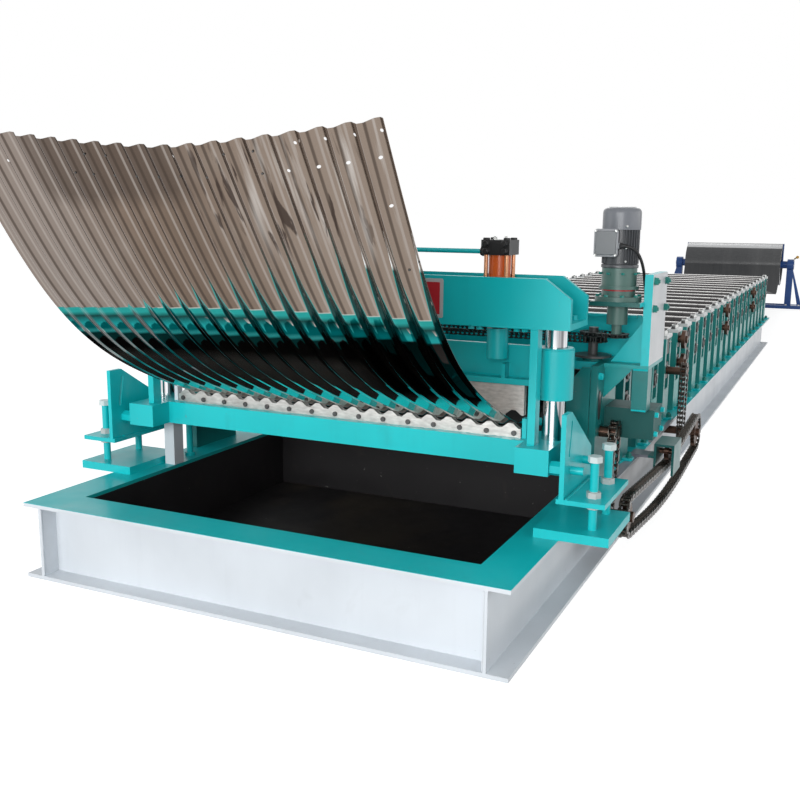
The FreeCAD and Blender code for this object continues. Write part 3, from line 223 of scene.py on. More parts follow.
def paint(
    name, color, dirt=(0.02, 0.03, 0.03), roughness=0.34, coat=0.12, wear=0.5, zones=(),
):
    """Gloss paint with small chips. Each zone is a function that gives a mask, and its colour."""
    m = Shader(name, color, roughness=roughness, coat=coat, specular=0.35)
    base = painted(m, color, wear, dirt)
    for mask, other in zones:
        base = m.mix(mask(m), base, painted(m, other, wear * 0.8, dirt))
    chips = m.spots((0.72, 0.75, 0.0, 0.6 * wear), 55.0, 6)
    m.color(m.mix(chips, base, (0.16, 0.16, 0.15)))
    m.rough(m.spots((0.3, 0.7, roughness - 0.06, roughness + 0.12), 6.0, 5))
    m.bump(m.noise(160.0, 2), 0.06)
    return m.material


def metal(
    name, color, roughness, grain=(30, 30, 30), tint=0.75, spots=0.3, grime=(0.05, 0.04, 0.03),
):
    """Bare metal with a brushed grain and a little staining."""
    m = Shader(name, color, metallic=1.0, roughness=roughness)
    brushed = m.noise(6.0, 4, grain)
    base = m.mix(m.ramp(brushed, 0.3, 0.7), shade(color, tint), color)
    stain = m.spots((0.58, 0.8, 0.0, spots), 11.0, 7, distortion=0.8)
    m.color(m.mix(stain, base, grime))
    m.rough(m.spots((0.3, 0.7, roughness * 0.75, roughness * 1.35), 9.0, 4, grain))
    m.bump(brushed, 0.12, 0.001)
    return m.material


# The panel's sheet, its reflections painted into its colour. The painted reflections meet along an
# edge across the sheet, and their bands follow the waves.

REFLECTION_BROWN = (0.165, 0.122, 0.094)
REFLECTION_BRIGHT = (0.7, 0.64, 0.6)
PAINTED_GLINT = (0.8, 0.82, 0.82)
REFLECTION_EDGE_LEVEL = 1.026


def near(m, centre, half, core=0.4):
    """1 about a share of every wave's pitch, and 0 more than half away from it."""
    turned = m.math("FRACT", m.sum((m.axis("X"), 1 / PITCH), 9.5 - centre))
    return m.fall(m.math("ABSOLUTE", m.sum((turned, 1.0), -0.5)), half * core, half)


def upper_painted_reflection(m):
    """The brown painted reflection above the edge, with dark and pale painted lines, a painted dark
    patch at the top, pale painted streaks and dark painted blots.
    """
    x = m.axis("X")
    z = m.axis("Z")
    bands = m.spots((0.3, 0.7), 2.0, 3, (14, 1.2, 1.2))
    look = m.mix(bands, shade(REFLECTION_BROWN, 0.85), shade(REFLECTION_BROWN, 1.12))
    look = m.mix(m.fall(x, -0.45, -0.15), look, (0.235, 0.195, 0.17))
    look = m.mix(m.ramp(x, 0.05, 0.4), look, (0.24, 0.19, 0.155))
    cloud = m.spots((0.56, 0.8, 0.0, 0.3), 4.0, 6, (1, 0.6, 0.6), 0.7)
    look = m.mix(cloud, look, (0.32, 0.28, 0.25))
    ragged = m.sum((m.noise(3.0, 4, (1, 1, 0.4)), 0.2), -0.1)
    high = m.ramp(m.sum((z, 1.0), (ragged, 1.0)), 1.3, 1.36)
    painted_dusk = m.both(m.within("X", -0.42, 0.1, 0.05), high)
    look = m.mix(m.both(painted_dusk, 0.75), look, (0.085, 0.064, 0.052))
    for centre, half, strength, other in (
        (0.13, 0.06, 0.6, (0.09, 0.07, 0.055)), (0.87, 0.05, 0.5, (0.4, 0.36, 0.33)),
        (0.37, 0.035, 0.45, (0.36, 0.32, 0.3)), (0.64, 0.06, 0.75, (0.06, 0.045, 0.036)),
    ):
        look = m.mix(m.both(near(m, centre, half), strength), look, other)
    streak = m.both(
        m.spots((0.56, 0.72, 0.0, 0.8), 1.6, 5, (30, 1.6, 1.6)),
        m.both(m.ramp(x, 0.1, 0.35), m.ramp(z, 1.15, 1.35)),
    )
    look = m.mix(streak, look, (0.55, 0.52, 0.49))
    blot = m.both(
        m.spots((0.6, 0.64, 0.0, 0.9), 2.0, 5, (26, 1.4, 2.6), 0.4),
        m.both(m.within("X", 0.1, 0.6, 0.05), m.within("Z", 1.2, 1.47, 0.03)),
    )
    return m.mix(blot, look, (0.05, 0.036, 0.03))


def lower_painted_reflection(m, height):
    """The bright painted reflection below the edge, with a teal painted reflection band, and dark
    painted reflection bands and grooves under it.
    """
    x = m.axis("X")
    smear = m.spots((0.6, 0.82, 0.0, 0.3), 9.0, 7, distortion=1.2)
    from_middle = m.ramp(x, -0.35, 0.0)
    wedge = m.both(near(m, 0.88, 0.16, 0.3), from_middle)
    teal_top = m.sum(
        (height, 1.0), (near(m, 0.7, 0.3, 0.0), -0.008), (from_middle, 0.016), (wedge, 0.034), 0.002,
    )
    teal = m.both(m.fall(teal_top, -0.001, 0.001), m.ramp(height, -0.084, -0.074))
    foot = m.both(m.fall(height, -0.095, -0.088), m.ramp(height, -0.19, -0.15))
    on_left = m.fall(x, -0.28, -0.1)
    left = m.sum((on_left, 1.0), (m.both(on_left, near(m, 0.75, 0.19, 0.85)), -1.0))
    left = m.both(left, m.ramp(height, -0.33, -0.25))
    deep = m.both(m.ramp(x, 0.3, 0.42), m.fall(height, -0.074, -0.068))
    deep = m.both(deep, m.ramp(height, -0.33, -0.28))
    groove = m.both(near(m, 0.2, 0.31, 0.88), m.ramp(height, -0.33, -0.2))
    return m.layers(
        REFLECTION_BRIGHT, (smear, shade(REFLECTION_BRIGHT, 0.6)), (teal, (0.01, 0.26, 0.26)),
        (m.both(foot, 0.95), (0.035, 0.03, 0.027)), (m.both(left, 0.93), (0.02, 0.1, 0.1)),
        (deep, (0.008, 0.006, 0.005)), (m.both(groove, 0.96), (0.02, 0.018, 0.016)),
    )


def painted_reflection_sheet(name):
    """Bright sheet with painted reflections: brown above a soft edge, and teal spikes that grow
    across it to the right.
    """
    m = Shader(name, REFLECTION_BROWN, metallic=0.975, roughness=0.05)
    x = m.axis("X")
    right_side = m.math("MAXIMUM", x, 0.0)
    left_side = m.math("MAXIMUM", m.sum((x, -1.0), -0.1), 0.0)
    height = m.sum(
        (m.axis("Z"), 1.0), (x, -0.03), (m.both(right_side, right_side), 0.05),
        (left_side, 0.022), -REFLECTION_EDGE_LEVEL,
    )
    face = m.mix(m.ramp(height, -0.002, 0.002), lower_painted_reflection(m, height), upper_painted_reflection(m))

    # Teal spikes of painted reflection, dark teal inside, with a painted white glint at their tips
    # and along one line.
    reach = m.both(near(m, 0.2, 0.31, 0.1), m.ramp(x, -0.45, 0.45, 0.0, 0.24))
    inside = m.sum((height, 1.0), (reach, -1.0))
    teal_reflection_spike = m.both(m.fall(inside, -0.003, 0.001), m.ramp(height, -0.06, -0.03))
    fill = m.mix(m.fall(inside, -0.03, -0.015), (0.02, 0.28, 0.26), (0.008, 0.045, 0.042))
    tip = m.both(m.ramp(x, 0.47, 0.49), m.ramp(height, 0.135, 0.15))
    line = m.fall(m.math("ABSOLUTE", m.sum((height, 1.0), -0.052)), 0.004, 0.007)
    glint = m.both(near(m, 0.16, 0.05), m.both(m.ramp(x, 0.1, 0.2), line))
    m.color(m.mix(teal_reflection_spike, face, m.layers(fill, (tip, PAINTED_GLINT), (glint, PAINTED_GLINT))))
    m.rough(m.spots((0.35, 0.75, 0.03, 0.07), 7.0, 4))
    return m.material


# Soft streaks of painted sheen, for the slack strip and the coil's face.
def strip_sheen(m):
    return m.spots((0.45, 0.65, 0.0, 0.6), 1.7, 3, (1.5, 0.2, 0.2))


def strip_metal(name):
    """Strip painted nearly black between the rollers as painted shade, and its greyer slack loop
    behind them with painted sheen.
    """
    m = Shader(name, (0.02, 0.02, 0.02), roughness=0.5, specular=0.1)
    grain = m.spots((0.3, 0.7), 6.0, 4, (40, 1, 1))
    # Nearly black as painted shade between the rollers; the loop is greyer.
    painted_shade = m.mix(grain, (0.012, 0.012, 0.012), (0.026, 0.025, 0.025))
    grey = m.mix(grain, (0.075, 0.077, 0.08), (0.11, 0.112, 0.115))
    grey = m.mix(strip_sheen(m), grey, (0.17, 0.17, 0.17))
    m.color(m.mix(m.ramp(m.axis("Y"), 8.5, 8.9), painted_shade, grey))
    m.rough(m.spots((0.3, 0.7, 0.42, 0.6), 4.0, 4))
    m.bump(m.noise(1.5, 3, (2, 1, 1)), 0.2, 0.01)
    return m.material


def roller_metal(name):
    """Plated rollers, with a painted highlight on their crowns and painted shade below them, and a
    few stains.
    """
    m = Shader(name, (0.4, 0.4, 0.41), metallic=1.0, roughness=0.22)
    brushed = m.noise(6.0, 4, (2, 50, 50))
    lines = m.ramp(brushed, 0.3, 0.7)
    # Painted shade below the crowns, and a painted highlight on them.
    painted_shade = m.mix(lines, (0.035, 0.034, 0.034), (0.075, 0.073, 0.072))
    painted_highlight = m.mix(lines, (0.3, 0.29, 0.285), (0.44, 0.43, 0.42))
    base = m.mix(m.past("Z", 0.719, 0.0025), painted_shade, painted_highlight)
    stain = m.spots((0.58, 0.8, 0.0, 0.3), 11.0, 7, distortion=0.8)
    m.color(m.mix(stain, base, (0.05, 0.04, 0.03)))
    m.rough(m.spots((0.3, 0.7, 0.16, 0.3), 9.0, 4, (2, 50, 50)))
    m.bump(brushed, 0.12, 0.001)
    return m.material


def column_metal(name):
    """Ground guide columns, with long soft bands of painted dark reflection and a film of oil that
    darkens them in spots.
    """
    m = Shader(name, (0.6, 0.6, 0.62), metallic=1.0, roughness=0.07)
    # Dark and bright bands of painted reflection down the columns.
    bands = m.spots((0.42, 0.56), 1.0, 3, (26, 26, 0.5))
    base = m.mix(bands, (0.07, 0.07, 0.075), (0.75, 0.76, 0.78))
    film = m.spots((0.6, 0.8, 0.0, 0.5), 12.0, 6, (1, 1, 0.4), 0.5)
    m.color(m.mix(film, base, (0.12, 0.12, 0.12)))
    m.rough(m.spots((0.3, 0.7, 0.05, 0.12), 8.0, 4))
    m.bump(m.noise(30.0, 3, (1, 1, 0.05)), 0.05, 0.001)
    return m.material


def coil_metal(name):
    """Wound strip: fine rings on its ends, and a dark face with painted sheen and one painted
    highlight line near its top.
    """
    m = Shader(name, (0.1, 0.1, 0.105), roughness=0.4, specular=0.3)
    y = m.math("ADD", m.axis("Y"), -REEL_Y)
    z = m.math("ADD", m.axis("Z"), -REEL_Z)
    radius = m.math("SQRT", m.sum((y, y), (z, z)))
    rings = m.step("ShaderNodeTexNoise", {"W": radius, "Scale": 900.0}, noise_dimensions="1D")
    grain = m.spots((0.3, 0.7), 6.0, 4, (2, 30, 30))
    face = m.mix(grain, (0.08, 0.082, 0.085), (0.115, 0.117, 0.12))
    face = m.mix(strip_sheen(m), face, (0.19, 0.19, 0.19))
    # A painted highlight line along the top of the coil's face.
    face = m.mix(m.within("Z", 0.895, 0.954, 0.004), face, (0.82, 0.82, 0.82))
    turns = m.mix(rings, (0.04, 0.04, 0.042), (0.3, 0.3, 0.31))
    ends = m.ramp(m.math("ABSOLUTE", m.axis("X")), COIL_HALF - 0.0005, COIL_HALF + 0.0005)
    m.color(m.mix(ends, face, turns))
    m.rough(m.spots((0.3, 0.7, 0.2, 0.34), 9.0, 4))
    m.bump(rings, 0.1, 0.001)
    return m.material


# The zones of the paints, each a mask in the machine's own coordinates.


def beyond(letter, level, soft):
    return lambda m: m.past(letter, level, soft)


def above(level):
    return beyond("Z", level, 0.0006)


def between(low, high):
    return lambda m: m.within("Z", low, high)


def inside_pit(m, half, soft):
    across = m.fall(m.math("ABSOLUTE", m.axis("X")), half - soft, half + soft)
    return m.both(across, m.past("Y", PIT_FRONT, 0.0005))


def shaded_pit_walls(m):
    """Painted shade on the inner edges of the flanges round the pit, and on all that lies inside
    them.
    """
    return inside_pit(m, PIT_HALF, 0.0005)


# A lighter painted shade on the lips of the flanges round the pit.
def half_shaded_pit_lips(m):
    return m.both(inside_pit(m, PIT_HALF + 0.0004, 0.0002), m.within("Z", 0.262, 0.2795))


def pit_puddle(m):
    """Brown dried oil on the floor of the pit."""
    spread = m.spots((0.45, 0.62), 1.5, 5, (1, 1, 1), 0.5)
    return m.both(spread, m.fall(m.axis("Z"), 0.004, 0.006))


def left_stop(m):
    return m.both(m.past("Z", 0.5625, 0.0005), m.fall(m.axis("X"), -0.1, 0.1))


def shaded_mount_zone(m):
    """Painted shade on the shelf under the reducer, inside the upright plate."""
    return m.both(m.fall(m.axis("X"), 1.034, 1.0355), m.past("Z", 0.981, 0.001))


# Painted shade on the housings of the first stations.
def shaded_first_stations(m):
    return m.fall(m.axis("Y"), 1.9, 1.95)


def patch(x_low, x_high, y_low, y_high):
    """A ragged bare patch on top of the base's flanges."""

    def mask(m):
        ragged = m.sum((m.noise(14.0, 5, (1, 0.5, 1)), 0.03), -0.015)
        x = m.sum((m.axis("X"), 1.0), (ragged, 1.0))
        y = m.sum((m.axis("Y"), 1.0), (ragged, 3.0))
        inside = m.both(m.ramp(x, x_low, x_low + 0.002), m.fall(x, x_high, x_high + 0.002))
        inside = m.both(inside, m.ramp(y, y_low, y_low + 0.01))
        inside = m.both(inside, m.fall(y, y_high, y_high + 0.01))
        return m.both(inside, m.past("Z", FLANGE_TOP - 0.0015, 0.0005))

    return mask


def shade_behind_chains(m):
    """Painted shade on the web behind the side drive."""
    spread = m.sum((m.axis("Y"), 1.0), (m.noise(5.0, 4), 0.5), -0.25)
    along = m.both(m.ramp(spread, 0.9, 1.3), m.fall(spread, 2.6, 3.1))
    web = m.both(m.ramp(m.axis("X"), 0.83, 0.84), m.ramp(m.axis("Z"), 0.02, 0.09))
    return m.both(m.both(along, web), 0.85)


# The two darker teals are painted shade and painted half shade, for parts deep in the drive and round
# the pit.
TEAL = (0.004, 0.5, 0.53)
SHADE_TEAL = (0.004, 0.17, 0.165)
HALF_SHADE_TEAL = (0.004, 0.3, 0.3)
WHITE = (0.62, 0.66, 0.7)
PALE = (0.6, 0.62, 0.64)
STEEL = (0.5, 0.5, 0.49)
PRIMER = (0.24, 0.24, 0.28)
WHITE_DIRT = (0.3, 0.31, 0.3)
PAINTS = {
    "frame_paint": (TEAL, {}),
    "pipe_paint": (TEAL, {"wear": 0.3}),
    # The base is white with teal tops; painted shade darkens the web behind the chains and round the
    # pit, and bare primer shows in patches.
    "base_paint": (WHITE, {"dirt": WHITE_DIRT, "wear": 0.35, "zones": (
        (shade_behind_chains, (0.15, 0.155, 0.16)), (above(FLANGE_TOP - 0.0012), TEAL),
        (beyond("X", 0.9325, 0.0025), (0.004, 0.12, 0.115)), (shaded_pit_walls, SHADE_TEAL),
        (half_shaded_pit_lips, HALF_SHADE_TEAL), (patch(0.88, 0.96, 1.3, 1.86), PRIMER),
        (patch(0.9, 0.96, 2.0, 2.62), PRIMER),
    )}),
    "column_paint": (TEAL, {"zones": (
        (beyond("X", 1.06565, 0.00015), PALE), (shaded_mount_zone, (0.006, 0.1, 0.09)),
    )}),
    "stop_paint": (TEAL, {"zones": ((left_stop, WHITE),)}),
    "white_paint": (WHITE, {"dirt": WHITE_DIRT}),
    # The curving unit's side plates and covers, the motor's post and its shelf are painted darker
    # teal as painted shade.
    "deep_paint": (SHADE_TEAL, {"wear": 0.9}),
    "mid_paint": (HALF_SHADE_TEAL, {"wear": 0.7}),
    # The housings are painted a darker teal as painted shade, darkest at the first stations.
    "housing_paint": ((0.02, 0.28, 0.26), {"wear": 0.8, "zones": ((shaded_first_stations, SHADE_TEAL),)}),
    # The studs' pale tops are a painted highlight; the steel bands are their nuts.
    "stud_paint": (TEAL, {"zones": (
        (above(0.536), (0.6, 0.68, 0.68)), (between(0.4185, 0.4395), STEEL),
        (between(0.381, 0.4015), STEEL),
    )}),
    "nose_paint": (TEAL, {"zones": ((above(0.9295), (0.1, 0.1, 0.1)),)}),
    # The jack discs are a darker teal as painted shade, under dark screws.
    "jack_paint": (SHADE_TEAL, {"wear": 0.9, "zones": ((above(0.793), (0.06, 0.06, 0.06)),)}),
    # The drip tray is painted near black as painted shade in the pit, with brown dried oil on its
    # floor.
    "tray_steel": ((0.007, 0.006, 0.007), {
        "dirt": (0.03, 0.024, 0.018), "roughness": 0.5, "coat": 0.0, "wear": 1.0,
        "zones": ((pit_puddle, (0.03, 0.024, 0.017)),),
    }),
    "barrel_paint": ((0.72, 0.12, 0.02), {"roughness": 0.3, "coat": 0.3}),
    "black_paint": ((0.012, 0.012, 0.013), {"roughness": 0.38}),
    "reducer_paint": ((0.085, 0.16, 0.14), {"roughness": 0.35}),
    "motor_paint": ((0.17, 0.18, 0.2), {"roughness": 0.36}),
    "fin_paint": ((0.07, 0.075, 0.082), {"roughness": 0.36}),
    "lid_paint": ((0.3, 0.31, 0.33), {"roughness": 0.36}),
    "gearbox_paint": ((0.2, 0.21, 0.22), {}),
    # The curving gearbox block is painted near black teal as painted shade.
    "gearbox_block": ((0.004, 0.075, 0.07), {"roughness": 0.6, "coat": 0.0, "wear": 0.9}),
    # The cross plate is painted a brighter teal as painted light in its shade behind the jack screws.
    "back_paint": ((0.006, 0.62, 0.66), {"wear": 0.4}),
    "green_paint": ((0.01, 0.2, 0.17), {"wear": 0.6}),
    "cap_steel": ((0.72, 0.74, 0.74), {"roughness": 0.35, "wear": 0.8}),
    "decoiler_paint": ((0.012, 0.085, 0.33), {}),
    "handle_paint": ((0.75, 0.4, 0.03), {}),
    "plate_red": ((0.5, 0.02, 0.03), {"roughness": 0.3}),
    "plate_grey": ((0.5, 0.5, 0.5), {"roughness": 0.3}),
    "black_cord": ((0.01, 0.01, 0.011), {"roughness": 0.5, "coat": 0.0}),
}
METALS = {
    "zinc_bolts": ((0.62, 0.63, 0.62), 0.3, {}),
    "blade_steel": ((0.55, 0.54, 0.52), 0.45, {
        "grain": (6, 20, 20), "tint": 0.7, "spots": 0.5, "grime": (0.2, 0.18, 0.16),
    }),
    "copper_rods": ((0.55, 0.27, 0.15), 0.3, {"grain": (60, 60, 2)}),
    "chain_steel": ((0.075, 0.066, 0.058), 0.28, {"spots": 0.8, "grime": (0.015, 0.013, 0.012)}),
    "small_chain": ((0.03, 0.034, 0.033), 0.35, {"spots": 0.5}),
    "wheel_steel": ((0.1, 0.06, 0.045), 0.4, {"spots": 0.6}),
    "block_steel": ((0.1, 0.1, 0.1), 0.45, {}),
}
SPECIAL = {
    "sheet_steel": painted_reflection_sheet, "strip_steel": strip_metal, "coil_steel": coil_metal,
    "roller_chrome": roller_metal, "chrome_bar": column_metal,
}
MATERIALS = {name: paint(name, color, **look) for name, (color, look) in PAINTS.items()}
MATERIALS.update({name: metal(name, *main, **look) for name, (*main, look) in METALS.items()})
MATERIALS.update({name: make(name) for name, make in SPECIAL.items()})
SHOWN_AS = {
    "base_paint": ("base_beam_left", "base_beam_right", "base_cross_front", "base_cross_members"),
    "column_paint": ("motor_bracket",), "stop_paint": ("beam_end_blocks",),
    "strip_steel": ("strip",), "stud_paint": ("levelling_studs",), "frame_paint": ("set_screws",),
    "nose_paint": ("cylinder_rods",), "jack_paint": ("jack_screws",),
    "small_chain": ("jack_sprockets",), "deep_paint": ("curving_side_plates", "motor_post"),
    "gearbox_block": ("curving_gearbox",), "mid_paint": ("motor_shelf",),
    "wheel_steel": ("drive_sprockets",), "block_steel": ("crimp_rollers",),
    "housing_paint": ("station_housings_right", "station_housings_left"),
}

slots = {row["node"]: row["material_slot"] for row in frame["record"]["subparts"]}
finishes = {**slots, **{node: finish for finish, nodes in SHOWN_AS.items() for node in nodes}}
for node, obj in frame["nodes"].items():
    material = MATERIALS[finishes[node]]
    for material_slot in obj.material_slots:
        material_slot.material = material
    if not obj.material_slots:
        obj.data.materials.append(material)

# The motor's lead, from the terminal box round the bracket's column into the gearbox's gland.
# Its points are in millimetres from the middle of the motor's seat.

LEAD_RADIUS = 0.0055
LEAD_END = 0.792
LEAD = [
    (12, -70, 79), (42, -70, 79), (68, -64, 65), (84, -47, 34), (90, -15, -8),
    (86, 35, -56), (80, 105, -118), (80, 140, -198), (80, 147, -270),
]
motor_seat = Vector((MOTOR_X, MOTOR_Y, MOTOR_SEAT))
lead_route = [motor_seat + Vector(point) / 1000 for point in LEAD]
lead_route.append(Vector((lead_route[-1].x, lead_route[-1].y, LEAD_END)))
lead_curve = bpy.data.curves.new("motor_lead_cord", "CURVE")
lead_curve.dimensions = "3D"
lead_curve.bevel_depth = LEAD_RADIUS
lead_curve.bevel_resolution = 4
lead_curve.use_fill_caps = True
spline = lead_curve.splines.new("NURBS")
spline.points.add(len(lead_route) - 1)
for point, spot in zip(spline.points, lead_route):
    point.co = (*spot, 1)
spline.order_u = 3
spline.use_endpoint_u = True
spline.resolution_u = 10
lead_curve.materials.append(MATERIALS["black_cord"])
lead = add_object("motor_lead_cord", lead_curve)
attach(lead, "machine")
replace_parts(lead, "motor_lead")

# Making pieces.

SMOOTH_ANGLE = math.radians(32)
RIPPLE = 0.006


def aim(point, direction):
    """A frame at a point with its Z along a direction."""
    z = Vector(direction).normalized()
    x = z.orthogonal().normalized()
    y = z.cross(x)
    return Matrix.Translation(point) @ Matrix((x, y, z)).transposed().to_4x4()


def upright(x, y, z):
    """A frame at a point with its X to the right, its Y up and its Z to the front."""
    return Matrix.Translation((x, y, z)) @ Matrix.Rotation(math.pi / 2, 4, "X")


def around(count, radius=1.0, turn=0.0):
    """Points evenly round a circle."""
    angles = [turn + 2 * math.pi * i / count for i in range(count)]
    return [(radius * math.cos(t), radius * math.sin(t)) for t in angles]


def rounded(half_x, half_y, corner):
    """The outline of a rectangle with round corners."""
    outline = []
    for k, (sx, sy) in enumerate(((1, 1), (-1, 1), (-1, -1), (1, -1))):
        for i in range(5):
            t = math.pi / 2 * (k + i / 4)
            x = sx * (half_x - corner) + corner * math.cos(t)
            outline.append((x, sy * (half_y - corner) + corner * math.sin(t)))
    return outline


class Piece:
    """One named piece of the scene, put together from turned, extruded and swept forms."""

    def __init__(self, name):
        self.name = name
        self.bm = bmesh.new()

    def rings(self, rings, loop=False):
        """Faces between rings of points, each ring the same length, closed at both ends."""
        made = [[self.bm.verts.new(p) for p in ring] for ring in rings]
        for low, high in zip(made, made[1:] + made[:1] if loop else made[1:]):
            for i in range(len(low)):
                j = (i + 1) % len(low)
                self.bm.faces.new((low[i], low[j], high[j], high[i]))
        if not loop:
            self.bm.faces.new(made[0][::-1])
            self.bm.faces.new(made[-1])

    def spin(self, place, profile, count):
        """Turn a profile of (radius, height) about the frame's Z."""
        self.rings([[place @ Vector((*p, z)) for p in around(count, r)] for r, z in profile])

    def prism(self, place, outline, low, high, edge=0.0):
        """A flat outline given thickness, with its rims eased by edge."""
        centre = Vector((sum(x for x, y in outline), sum(y for x, y in outline))) / len(outline)

        def ring(z, inset):
            found = []
            for point in outline:
                out = Vector(point) - centre
                eased = centre + out * (1 - inset / max(out.length, 1e-6))
                found.append(place @ Vector((*eased, z)))
            return found

        if edge:
            self.rings([ring(low, edge), ring(low + edge, 0), ring(high - edge, 0), ring(high, edge)])
        else:
            self.rings([ring(low, 0), ring(high, 0)])

    def bolt(self, point, direction, across, height, washer=0.0, stud=0.0):
        """A hexagon head or nut with eased corners, on a washer, with a stud end if asked."""
        place = aim(point, direction)
        radius = across / math.sqrt(3)
        base = 0.0
        if washer:
            self.spin(place, [(washer, 0), (washer, 0.0025), (washer * 0.96, 0.003)], 16)
            base = 0.003
        top = base + height
        self.spin(place, [(radius, base), (radius, base + height * 0.82), (radius * 0.86, top)], 6)
        if stud:
            r = radius * 0.52
            turns = [(r, top - 0.001)]
            steps = max(2, int(stud / 0.004))
            for i in range(steps):
                turns.append((r, top + stud * (i + 0.3) / steps))
                turns.append((r * 0.88, top + stud * (i + 0.8) / steps))
            self.spin(place, turns + [(r * 0.7, top + stud + 0.001)], 10)

    def tube(self, points, radius, count, closed=False):
        """A round bar along points. The radius is a number, or a function of the point's number."""
        points = [Vector(p) for p in points]
        rings = []
        normal = None
        for i, p in enumerate(points):
            if closed:
                run = points[(i + 1) % len(points)] - points[i - 1]
            else:
                run = points[min(i + 1, len(points) - 1)] - points[max(i - 1, 0)]
            run.normalize()
            if normal is None:
                normal = run.orthogonal().normalized()
            normal = (normal - run * normal.dot(run)).normalized()
            other = run.cross(normal)
            size = radius(i) if callable(radius) else radius
            rings.append([p + (normal * a + other * b) * size for a, b in around(count)])
        self.rings(rings, loop=closed)

    def bead(self, start, end, radius=0.004):
        """A weld bead with the ripples of its passes."""
        start, end = Vector(start), Vector(end)
        run = end - start
        count = max(4, int(run.length / RIPPLE) * 2)
        line = [start + run * i / count for i in range(count + 1)]
        self.tube(line, lambda i: radius * (1.0 if i % 2 else 0.8), 6)

    def mesh(self):
        """The piece's mesh, with its faces turned outward."""
        bmesh.ops.recalc_face_normals(self.bm, faces=self.bm.faces)
        mesh = bpy.data.meshes.new(self.name)
        self.bm.to_mesh(mesh)
        self.bm.free()
        return mesh

    def done(self, body, material):
        """Make the object, shade it and let it ride on its body."""
        mesh = self.mesh()
        mesh.materials.append(MATERIALS[material])
        mesh.shade_smooth()
        mesh.set_sharp_from_angle(angle=SMOOTH_ANGLE)
        obj = add_object(self.name, mesh)
        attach(obj, body)
        return obj


def finish_piece(piece, slot, body="machine"):
    """Make the object with the material of that name."""
    obj = piece.done(body, slot)
    return obj


# The finished panel: thin corrugated sheet, curved upward, its middle bowed down.

PANEL_HALF = 0.70485
PANEL_LENGTH = 1.43
PANEL_TAIL_Y, PANEL_TAIL_Z = 0.664, 0.6099
PANEL_SKIN = 0.0005
PANEL_ROWS, PANEL_COLUMNS = 44, 37 * 14
WAVE_HALF = 0.0085
FLAT = 0.11
BEND_START = 0.82
TAIL_SLOPE, SLOPE_GAIN = 19, 39.5
CURVE_MIDDLE, CURVE_REACH = 0.62, 0.19
BOW_MIDDLE, BOW_DEPTH = 0.09, 0.0465
BOW_LEFT, BOW_RIGHT = (0.1133, 1.46), (0.096, 1.4)
HOLE_RADIUS = 0.0045

# Holes and rivets, each its x and its distance from the tip.
HOLES = (
    (0.69, 0.03), (0.62, 0.026), (0.54, 0.026), (0.456, 0.026), (0.672, 0.09), (0.588, 0.09),
    (0.508, 0.09), (0.424, 0.09), (0.092, 0.03), (-0.532, 0.09), (0.668, 0.22), (-0.61, 0.03),
)
RIVETS = (
    (-0.196, 0.026), (-0.124, 0.03), (-0.264, 0.09), (-0.2, 0.095), (-0.128, 0.1), (-0.056, 0.095),
    (0.016, 0.095), (0.084, 0.095), (0.176, 0.095), (0.348, 0.09), (0.344, 0.026), (0.256, 0.026),
    (0.668, 0.42),
)


def wave(x):
    """Height of the corrugation at x: flat crests and valleys with rounded bends."""
    phase = (x / PITCH + 9) % 1.0
    line = (1 - 4 * phase if phase < 0.5 else 4 * phase - 3) / (1 - 4 * FLAT)
    size = abs(line)
    if size > BEND_START:
        reach = 2 * (1 - BEND_START)
        over = min((size - BEND_START) / reach, 1.0)
        size = BEND_START + reach * (over - over * over / 2)
    return WAVE_HALF * math.copysign(size, line)


def panel_slope(run):
    """The slope of the panel at a length from its tail: nearly straight, curved, straight again."""
    curved = 1 / (1 + math.exp(-(run - CURVE_MIDDLE) / CURVE_REACH))
    return math.radians(TAIL_SLOPE + SLOPE_GAIN * curved)


def panel_line(count):
    """Points along the middle of the panel with their slopes, from the tail to the tip."""
    found = []
    y, z = PANEL_TAIL_Y, PANEL_TAIL_Z
    step = PANEL_LENGTH / count
    for i in range(count + 1):
        run = i * step
        slope = panel_slope(run)
        found.append((y, z, slope, run))
        y -= step * math.cos(slope)
        z += step * math.sin(slope)
    return found


def panel_point(x, station, rise=0.0):
    """A point of the sheet at x on a row across it, rise above the sheet's middle."""
    y, z, slope, run = station
    away = x - BOW_MIDDLE
    factor, power = BOW_LEFT if away < 0 else BOW_RIGHT
    bow = (factor * abs(away) ** power - BOW_DEPTH) * (run / PANEL_LENGTH) ** 2
    height = wave(x) + rise
    return Vector((x, y + height * math.sin(slope), z + bow + height * math.cos(slope)))


def panel_spot(x, back, line):
    """A frame on the sheet at x, at that distance from the tip."""
    station = min(line, key=lambda row: abs(row[3] - (PANEL_LENGTH - back)))
    slope = station[2]
    return aim(panel_point(x, station), (0, math.sin(slope), math.cos(slope)))


